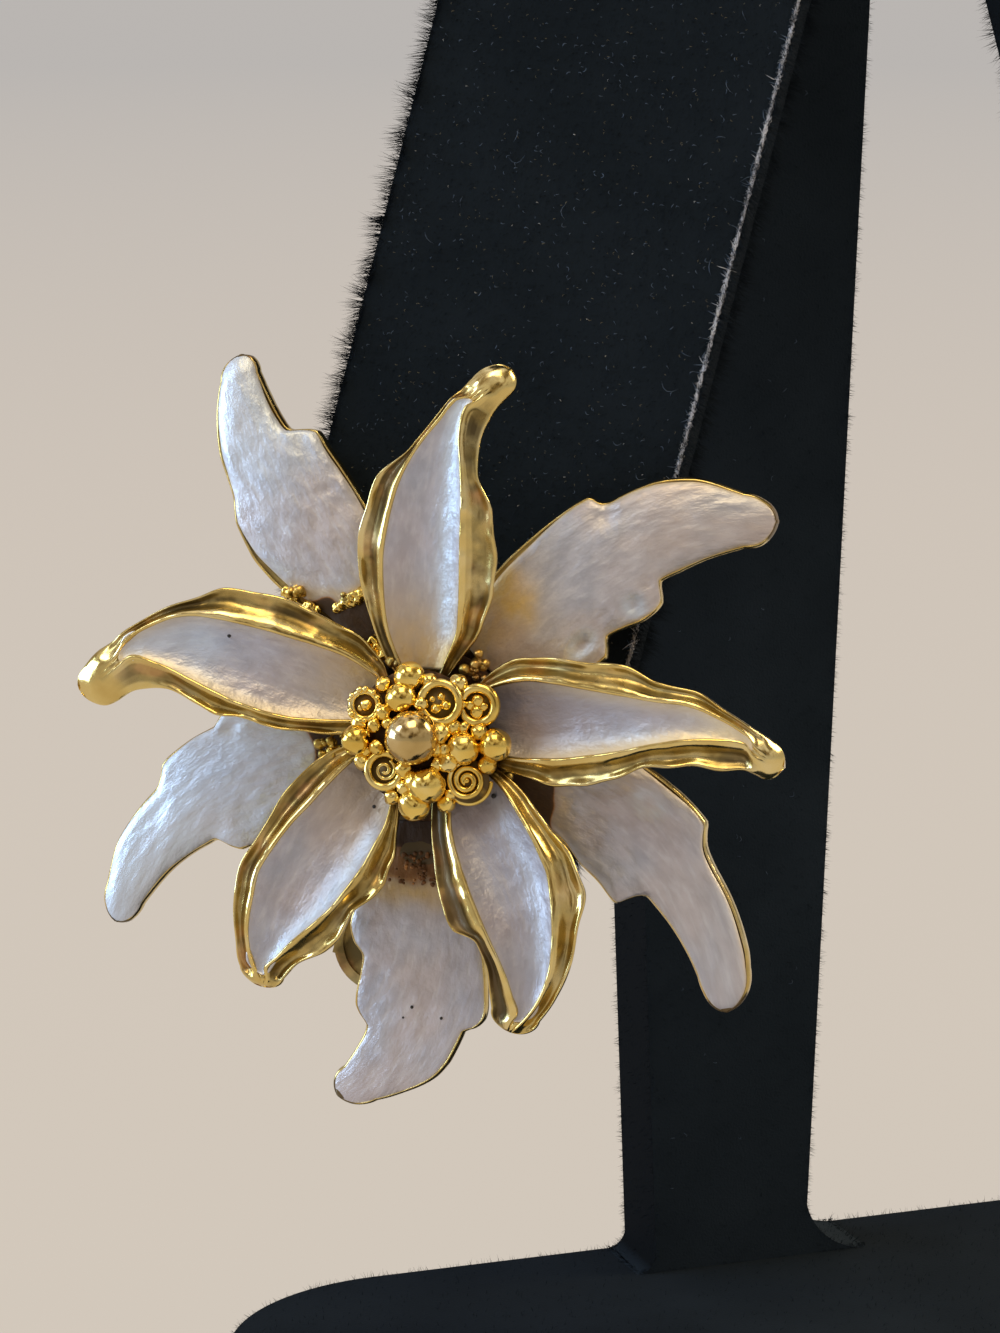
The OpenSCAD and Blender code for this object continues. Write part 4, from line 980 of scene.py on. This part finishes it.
def stamens():
    balls, cups, rims = [], [], []
    for x, y, z, r, form in STAMEN_CUPS:
        x, y = x * CLUSTER_R, y * CLUSTER_R
        cups.append(turned([(r - CUP_WALL, -0.05), (r * 0.62, -0.35), (r * 0.3, -0.46), (0.02, -0.48),
                            (0.02, -0.5), (r * 0.5, -r), (r * 0.75, -r * 0.8), (r - 0.08, -r * 0.4),
                            (r - 0.03, -0.1)], (x, y, z)))
        rims += cup_rims(x, y, z, r, form)
        balls += [ball((x + dx, y + dy, z - deep), size, segments, rings, lump=lump, seed=seed)
                  for dx, dy, deep, size, segments, rings, lump, seed in CUP_GRAINS[form]]
    balls += [ball((x * CLUSTER_R, y * CLUSTER_R, z), r, lump=0.03 if r > 0.6 else 0.07, seed=seed)
              for seed, (x, y, z, r) in enumerate(np.array(STAMEN_BALLS) / 100, 205)]
    core = turned([(0.02, CORE_TOP - 0.02), (1.6, CORE_TOP), (3.0, CORE_TOP - 0.1), (3.4, CORE_TOP - 0.35),
                   (3.3, 1.3), (2.6, 0.8), (2.2, 0.66), (0.02, 0.65)], (0, 0, 0), 64)
    node = "stamen_cluster"
    flower_piece("stamen_balls", balls, GOLD_WARM, node, bright_above=1.9)
    flower_piece("stamen_cups", cups, GOLD_DARK, node, tarnish=1.0)
    flower_piece("stamen_rims", rims, GOLD_WARM, node, tarnish=0.05)
    flower_piece("stamen_centre_ball", [ball(CENTRE_BALL[:3], CENTRE_BALL[3], 56, 32)], BALL_GOLD, node)
    flower_piece("stamen_core", [core], DARK_BROWN, node)


stamens()

# Cast grains between the front petals: angle, distance, height, spread and count
GRAIN_GROUPS = [(113, 3.9, 0.5, 0.5, 7), (189, 4.9, 0.2, 0.7, 30), (332, 4.6, 0.1, 0.5, 9),
                (53, 4.5, 0.5, 0.6, 14), (118, 5.2, -0.2, 0.4, 8), (134, 10.0, -1.2, 0.3, 9),
                (122, 8.2, -1.0, 0.25, 4)]

# Lumps of gold about the root of the back petal at the upper left: place and radius, in hundredths
# of a mm
ROOT_LUMPS = [
    (-345, 715, -95, 38), (-375, 700, -100, 40), (-410, 685, -100, 38), (-445, 665, -105, 36),
    (-480, 645, -110, 32), (-635, 645, -110, 36), (-600, 625, -120, 28), (-750, 725, -110, 30),
    (-715, 695, -110, 26), (-260, 470, 20, 36), (-230, 440, 40, 32), (-295, 445, 10, 30),
    (-205, 410, 60, 28), (-235, 400, 50, 32),
]

# Grains between the back petals: angle, distance and radius
BACK_GRAINS = [(153, 4.3, 0.5), (147, 4.1, 0.4), (159, 4.1, 0.4), (228, 4.3, 0.4), (223, 4.1, 0.4),
               (305, 4.3, 0.4), (310, 4.1, 0.4), (12, 4.3, 0.4), (18, 4.1, 0.4)]


def granules():
    rng = np.random.default_rng(7)
    parts = []
    for angle, far, z, spread, count in GRAIN_GROUPS:
        for _ in range(count):
            a = math.radians(angle) + rng.normal(0, spread * 0.6) / far
            r = far + rng.normal(0, spread * 0.5)
            size = rng.uniform(0.12, 0.32)
            parts.append(ball(at_angle(a, r, z + rng.uniform(-0.3, 0.25)), size, 16, 10, lump=0.12,
                              seed=int(rng.integers(1000))))
    lumps = [ball((x, y, z), r, 20, 14, squash=0.7, lump=0.22, seed=seed)
             for seed, (x, y, z, r) in enumerate(np.array(ROOT_LUMPS) / 100, 500)]
    rusty = []
    for seed in range(400, 490):
        a = math.radians(270 + rng.uniform(-15, 15))
        r = rng.uniform(6.1, 7.8)
        rusty.append(ball(at_angle(a, r, BACK_LEVEL + 0.62 + 0.025 * r, BACK_SHIFT), rng.uniform(0.05, 0.14),
                          8, 6, lump=0.15, seed=seed))
    grains = [ball(at_angle(math.radians(angle), far, BACK_LEVEL, BACK_SHIFT), size, 16, 10, lump=0.12,
                   seed=seed) for seed, (angle, far, size) in enumerate(BACK_GRAINS, 300)]
    flower_piece("front_granules", parts, GOLD_DARK, "front_star", tarnish=0.45)
    flower_piece("root_lumps", lumps, GOLD_WARM, "back_star", tarnish=0.2)
    flower_piece("rusty_grains", rusty, RUST, "back_star")
    flower_piece("back_grains", grains, GOLD_DARK, "back_star", tarnish=0.5)


granules()

# Hubs: radius and height from top to bottom, in mm
FRONT_HUB = [(0.02, -0.4), (3.6, -0.4), (4.2, -0.46), (4.4, -0.6), (4.4, -1.0), (4.25, -1.2), (0.02, -1.2)]
BACK_HUB = [(0.02, -1.25), (2.8, -1.25), (3.0, -1.35), (3.0, -2.0), (4.1, -2.0), (4.4, -2.2), (4.4, -2.7),
            (4.2, -2.9), (0.02, -2.9)]
flower_piece("front_hub", [turned(FRONT_HUB, (0, 0, 0), 72)], DARK_BROWN, "front_star")
flower_piece("back_hub", [turned(BACK_HUB, (BACK_SHIFT, 0, 0), 72)], DARK_BROWN, "back_star")


# Clip and stand: the solids of the part, with soft edges
def dress(name, material, bevel):
    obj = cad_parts[name]
    obj.data.materials.clear()
    obj.data.materials.append(material)
    mod = obj.modifiers.new("soft_edges", "BEVEL")
    mod.width = bevel * MM
    mod.segments = 3
    mod.limit_method = "ANGLE"
    mod.angle_limit = math.radians(32)
    mod.harden_normals = False


for name in ("clip_plate", "hinge_pin", "clip_lever"):
    dress(name, GOLD_CLIP, 0.08)
for name in ("stand_base", "stand_post", "stand_top", "stand_flap_left", "stand_flap_right"):
    dress(name, VELVET_POST_PAINTED_LIGHT if name == "stand_post" else VELVET, 0.45)


# Velvet pile: size of a hair, and how deep it and a hair of the fringe start, in mm
HAIR_LENGTH, HAIR_WIDTH, HAIR_SINK = 0.34, 0.018, 0.04
FRINGE_WIDTH, FRINGE_SINK = 0.022, 0.3
FRINGE_DROOP = (0, 0, -0.25)


def node_triangles(name):
    """Corners, normals and areas of a CAD node's triangles, in mm."""
    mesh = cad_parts[name].data
    mesh.calc_loop_triangles()
    co = np.empty(len(mesh.vertices) * 3, np.float32)
    mesh.vertices.foreach_get("co", co)
    co = co.reshape(-1, 3) / MM
    idx = np.empty(len(mesh.loop_triangles) * 3, np.int32)
    mesh.loop_triangles.foreach_get("vertices", idx)
    tri = co[idx.reshape(-1, 3)].astype(float)
    cross = np.cross(tri[:, 1] - tri[:, 0], tri[:, 2] - tri[:, 0])
    size = np.linalg.norm(cross, axis=1)
    keep = size > 1e-9
    return tri[keep], cross[keep] / size[keep, None], size[keep] / 2


def unit(ways):
    return ways / np.linalg.norm(ways, axis=1)[:, None]


def spikes(name, base, way, length, width):
    """Thin closed three-sided hairs from base points along ways, all lengths in mm."""
    across = unit(np.cross(way, np.where(np.abs(way[:, 2:3]) < 0.9, [[0, 0, 1.0]], [[1.0, 0, 0]])))
    other = np.cross(way, across)
    corners = [base + width * (math.cos(a) * across + math.sin(a) * other)
               for a in (0, 2 * math.pi / 3, 4 * math.pi / 3)]
    verts = np.stack(corners + [base + way * length[:, None]], axis=1).reshape(-1, 3) * MM
    start = np.arange(len(base))[:, None] * 4
    sides = ((2, 1, 0), (0, 1, 3), (1, 2, 3), (2, 0, 3))
    faces = np.concatenate([start + np.array([side]) for side in sides])
    return mesh_object(name, verts, faces.tolist(), PILE, slot="velvet", smooth=False)


def pile(name, per_mm2, seed, nap):
    """Short hairs over a node's faces, combed along nap."""
    rng = np.random.default_rng(seed)
    tri, normal, area = node_triangles("stand_" + name)
    count = int(area.sum() * per_mm2)
    pick = rng.choice(len(tri), count, p=area / area.sum())
    u, v = rng.random(count), rng.random(count)
    over = u + v > 1
    u[over], v[over] = 1 - u[over], 1 - v[over]
    t, n = tri[pick], normal[pick]
    base = t[:, 0] + u[:, None] * (t[:, 1] - t[:, 0]) + v[:, None] * (t[:, 2] - t[:, 0])
    way = unit(n * rng.uniform(0.5, 1.2, count)[:, None] + np.array(nap) + rng.normal(0, 0.35, (count, 3)))
    way = unit(way + n * np.maximum(0.35 - np.sum(way * n, axis=1), 0)[:, None])
    length = rng.uniform(0.6, 1.2, count) * HAIR_LENGTH
    return spikes("pile_" + name, base - n * HAIR_SINK, way, length, HAIR_WIDTH)


def sharp_edges(name):
    """The ends and the two normals of each sharp edge of a CAD node."""
    tri, normal, _ = node_triangles(name)
    shared = {}
    for k, t in enumerate(tri):
        for a, b in ((0, 1), (1, 2), (2, 0)):
            key = tuple(sorted((tuple(np.round(t[a], 3)), tuple(np.round(t[b], 3)))))
            shared.setdefault(key, []).append(k)
    for (p, q), faces in shared.items():
        if len(faces) == 2 and normal[faces[0]] @ normal[faces[1]] <= 0.8:
            yield np.array(p), np.array(q), normal[faces[0]], normal[faces[1]]


def edge_fringe(name, per_mm, length, seed):
    """Longer hairs that stand out along a node's sharp edges."""
    rng = np.random.default_rng(seed)
    bases, ways = [], []
    for p, q, n1, n2 in sharp_edges(name):
        count = rng.poisson(np.linalg.norm(q - p) * per_mm)
        if count:
            out = (n1 + n2) / np.linalg.norm(n1 + n2)
            along, lean = rng.random(count)[:, None], rng.random(count)[:, None]
            bases.append(p + (q - p) * along - out * FRINGE_SINK)
            ways.append(mix(n1, n2, lean) + out * 0.6)
    base, way = np.concatenate(bases), np.concatenate(ways)
    count = len(base)
    clump = np.stack([waves(seed + k, *(base.T * 1.9)) for k in range(3)], axis=-1)
    way = unit(unit(way) + clump * 0.32 + rng.normal(0, 0.24, (count, 3)) + np.array(FRINGE_DROOP))
    tuft = 1 + 0.28 * waves(seed + 9, *(base.T * 2.6))
    length = rng.uniform(0.45, 1.2, count) * length * tuft + FRINGE_SINK
    return spikes(f"fringe_{name}", base, way, length, FRINGE_WIDTH)


# Pile: stand piece, hairs for each square mm, seed and nap
for row in (("flap_left", 11, 1, (-0.35, -0.1, -0.55)), ("flap_right", 4, 2, (0.35, -0.1, -0.55)),
            ("post", 3, 3, (0, 0, -0.5)), ("top", 2.5, 4, (0, 0, 0)), ("base", 1.5, 5, (0.1, -0.3, 0))):
    pile(*row)

# Fringe: node, hairs for each mm of edge, length in mm and seed
for row in (("stand_flap_left", 76, 1.0, 20), ("stand_flap_right", 22, 0.7, 21),
            ("stand_post", 16, 0.35, 22), ("stand_top", 10, 0.5, 23), ("stand_base", 10, 0.4, 24)):
    edge_fringe(*row)


# Lint on the velvet
def lint(name, count, seed, material, sizes, region, along=None, thick=1.0):
    """Short curled threads: region gives points and outward ways."""
    rng = np.random.default_rng(seed)
    parts = []
    s = np.linspace(-0.5, 0.5, 5)
    taper = np.clip(1.15 - (2 * np.abs(s)) ** 2, 0.15, 1)
    for _ in range(count):
        base, out = region(rng)
        length = rng.uniform(*sizes)
        tangent = rng.normal(0, 1, 3) if along is None else along + rng.normal(0, 0.12, 3)
        tangent -= out * (tangent @ out)
        tangent /= np.linalg.norm(tangent)
        curl = rng.normal(0, 0.9)
        path = (base + np.outer(s * length, tangent)
                + np.outer((s * s - 0.1) * curl * length, np.cross(out, tangent))
                + out * (0.2 + 0.12 * np.cos(s * 5))[:, None] * rng.uniform(0.6, 1.3))
        parts.append(wire(path, rng.uniform(0.01, 0.017) * thick, 3, taper=taper))
    verts, faces = merged(parts)
    return mesh_object(f"lint_{name}", verts * MM, faces, material, slot="velvet")


FLAP_OUT = turned_frame(0)[2]
CLIP_ACROSS, CLIP_UP, _ = turned_frame(-SLANT)
CLIP_ORIGIN = FLOWER + turned_frame(0)[0] * CLIP_SHIFT
FLAP_SHIFT, FLAP_W = -0.4, 18.2
FLAP_FRONT = -3.75
POST_FRONT = 21.7


def flap_point(across, up, out):
    """A point of the left flap from its middle line, in mm."""
    return CLIP_ORIGIN + CLIP_ACROSS * (across + FLAP_SHIFT) + CLIP_UP * up + FLAP_OUT * out


def flap_face(rng):
    return flap_point(rng.uniform(-8.6, 8.6), rng.uniform(-6, 42), FLAP_FRONT), FLAP_OUT


def flap_seam(rng):
    up = rng.uniform(-1, 44)
    away = FLAP_OUT * 0.7 + CLIP_ACROSS * 0.7
    spot = flap_point(FLAP_W / 2 + rng.normal(-0.1, 0.025), up, FLAP_FRONT + rng.normal(0.0, 0.03))
    return spot - away * 0.16, away


def post_face(rng):
    return np.array([rng.uniform(-4, 4), POST_FRONT, rng.uniform(10, 80)]), np.array([0, -1.0, 0])


lint("flap_white", 45, 31, LINT_WHITE, (0.05, 0.14), flap_face)
lint("flap_hairs", 22, 35, LINT_BLUE, (0.4, 1.1), flap_face)
lint("flap_brown", 700, 36, LINT_BROWN, (0.05, 0.18), flap_face)
lint("flap_blue", 900, 32, LINT_BLUE, (0.06, 0.28), flap_face, thick=1.3)
lint("seam", 2800, 33, LINT_WHITE, (0.15, 0.6), flap_seam, along=CLIP_UP)
lint("seam_whiskers", 130, 37, LINT_BLUE, (0.4, 1.2), flap_seam, thick=1.5)
lint("seam_hairs", 30, 38, LINT_WHITE, (0.5, 1.6), flap_seam, thick=1.4)
lint("post", 50, 34, LINT_BLUE, (0.12, 0.4), post_face)

# Specks in the enamel: petal, along, side as a share of the length, lift and radius in mm
FRONT_SPECKS = [(1, 0.582, -0.043, -0.62, 0.1), (2, 0.16, 0.06, -0.35, 0.1), (3, 0.17, 0.1, -0.35, 0.13)]
BACK_SPECKS = [(1, 0.63, 0.002, 0.34, 0.08), (2, 0.702, 0.023, 0.33, 0.09), (2, 0.74, 0.012, 0.31, 0.06),
               (2, 0.698, 0.109, 0.22, 0.08)]


def specks(rows, petals, reach, height, shift):
    """Flat dark balls on the enamel of a star."""
    parts = []
    for i, share, side, lift, size in rows:
        t = np.array([share])
        spot = np.array([[[side * reach * petals[i][1], height(t)[0] + lift]]])
        place = petal_points(petals[i], reach, t, spot)[0, 0] + np.array([shift, 0, 0])
        parts.append(ball(place, size, 12, 8, 0.5))
    return parts


speck_verts, speck_faces = merged(specks(FRONT_SPECKS, FRONT_PETALS, FRONT_REACH, front_height, 0)
                                  + specks(BACK_SPECKS, BACK_PETALS, BACK_REACH, back_height, BACK_SHIFT))
mesh_object("specks", in_flower(speck_verts), speck_faces, SPECK, slot="pearl_enamel")


# Floor and backdrop, which glow by themselves so that the lights hardly show on them
def stage_piece():
    mat, place, bsdf = new_material("backdrop")
    far = place.node("ShaderNodeVectorMath", {0: place}, output="Value", operation="LENGTH")
    tone = far.ramp((0.0, (0.655, 0.585, 0.505)), (0.3, (0.625, 0.558, 0.49)), (1.0, (0.5, 0.475, 0.455)))
    set_shader(bsdf, Base_Color=tone.mix((0.0, 0.0, 0.0), 0.97), Emission_Color=tone,
               Emission_Strength=0.965, Roughness=1.0, Specular_IOR_Level=0.0)
    half = 8
    corners = [(-half, -half, 0), (half, -half, 0), (half, half, 0), (-half, half, 0)]
    mesh = bpy.data.meshes.new("backdrop")
    mesh.from_pydata(corners, [], [(0, 1, 2, 3)])
    mesh.materials.append(mat)
    obj = bpy.data.objects.new("backdrop", mesh)
    bpy.context.scene.collection.objects.link(obj)
    obj.location.z = -0.2 * MM


stage_piece()

# Camera at the photograph's angle: distance in mm, and how far the flower's centre lies left of and
# below the picture's middle, in the picture's pixels
AZIMUTH, ELEVATION, DISTANCE = math.radians(20), math.radians(12), 230.0
PX_PER_MM = 19.7
PICTURE_HEIGHT = 1333
OFF_CENTRE = (75, 68.5)
SENSOR = 36
RIGHT = np.array([math.cos(AZIMUTH), -math.sin(AZIMUTH), 0])
AHEAD = np.array([math.cos(ELEVATION) * math.sin(AZIMUTH), math.cos(ELEVATION) * math.cos(AZIMUTH),
                  -math.sin(ELEVATION)])
UP = np.array([math.sin(ELEVATION) * math.sin(AZIMUTH), math.sin(ELEVATION) * math.cos(AZIMUTH),
               math.cos(ELEVATION)])


def placed(name, data, place, way):
    """An object at a place in m that looks along way."""
    obj = bpy.data.objects.new(name, data)
    bpy.context.scene.collection.objects.link(obj)
    obj.location = Vector(place)
    obj.rotation_mode = "QUATERNION"
    obj.rotation_quaternion = Vector(way).to_track_quat("-Z", "Y")
    return obj


eye = FLOWER + RIGHT * OFF_CENTRE[0] / PX_PER_MM + UP * OFF_CENTRE[1] / PX_PER_MM - AHEAD * DISTANCE
camera = placed("camera", bpy.data.cameras.new("camera"), eye * MM, AHEAD)
camera.data.lens = PX_PER_MM * DISTANCE / PICTURE_HEIGHT * SENSOR
camera.data.sensor_width = SENSOR
camera.data.clip_start, camera.data.clip_end = 0.01, 10
bpy.context.scene.camera = camera


# Light
def area(name, way, distance, size, size_y, power, colour):
    """An area light that shines at the flower from way, given as right, up and towards the camera."""
    w = RIGHT * way[0] + UP * way[1] - AHEAD * way[2]
    w = w / np.linalg.norm(w)
    data = bpy.data.lights.new(name, "AREA")
    data.shape = "RECTANGLE"
    data.size, data.size_y = size, size_y
    data.energy = power
    data.color = colour
    placed(name, data, FLOWER * MM + w * distance, -w)


area("window", (-0.985, 0.17, -0.04), 0.45, 0.32, 0.18, 1.6, (0.54, 0.76, 1.0))
area("window_front", (-0.72, 0.55, 0.35), 0.5, 0.16, 0.16, 0.5, (0.72, 0.86, 1.0))
area("lamp", (0.02, 0.86, 0.5), 0.45, 0.22, 0.22, 0.8, (1.0, 0.8, 0.42))
area("lamp_right", (0.8, 0.55, -0.05), 0.5, 0.18, 0.18, 1.1, (1.0, 0.84, 0.54))


def room():
    """A world for the metal to mirror: dark below, with pale and brown patches and a plain horizon."""
    world = bpy.data.worlds.new("room")
    bpy.context.scene.world = world
    world.use_nodes = True
    way = Value(world.node_tree.nodes.new("ShaderNodeTexCoord").outputs["Generated"])
    height = way.node("ShaderNodeSeparateXYZ", {0: way}, output=2) * 0.5 + 0.5
    tone = height.ramp((0.0, (0.05, 0.035, 0.02)), (0.42, (0.18, 0.15, 0.12)), (0.6, (0.5, 0.48, 0.46)),
                       (1.0, (0.85, 0.84, 0.84)))
    patches = noise(way, 2.2, 2).ramp((0.36, (0.05, 0.038, 0.022)), (0.46, (0.52, 0.4, 0.24)),
                                      (0.58, (1.25, 1.22, 1.22)))
    black, white = (0.0, 0.0, 0.0), (1.0, 1.0, 1.0)
    horizon = height.ramp((0.46, black), (0.48, white), (0.555, white), (0.6, black))
    tone = tone.mix(patches, 1.0, "MULTIPLY").mix((0.603, 0.573, 0.549), horizon)
    sky = world.node_tree.nodes["Background"]
    plug(tone, sky.inputs["Color"])
    plug(0.8, sky.inputs["Strength"])


room()
bpy.context.scene.view_settings.view_transform = "Standard"
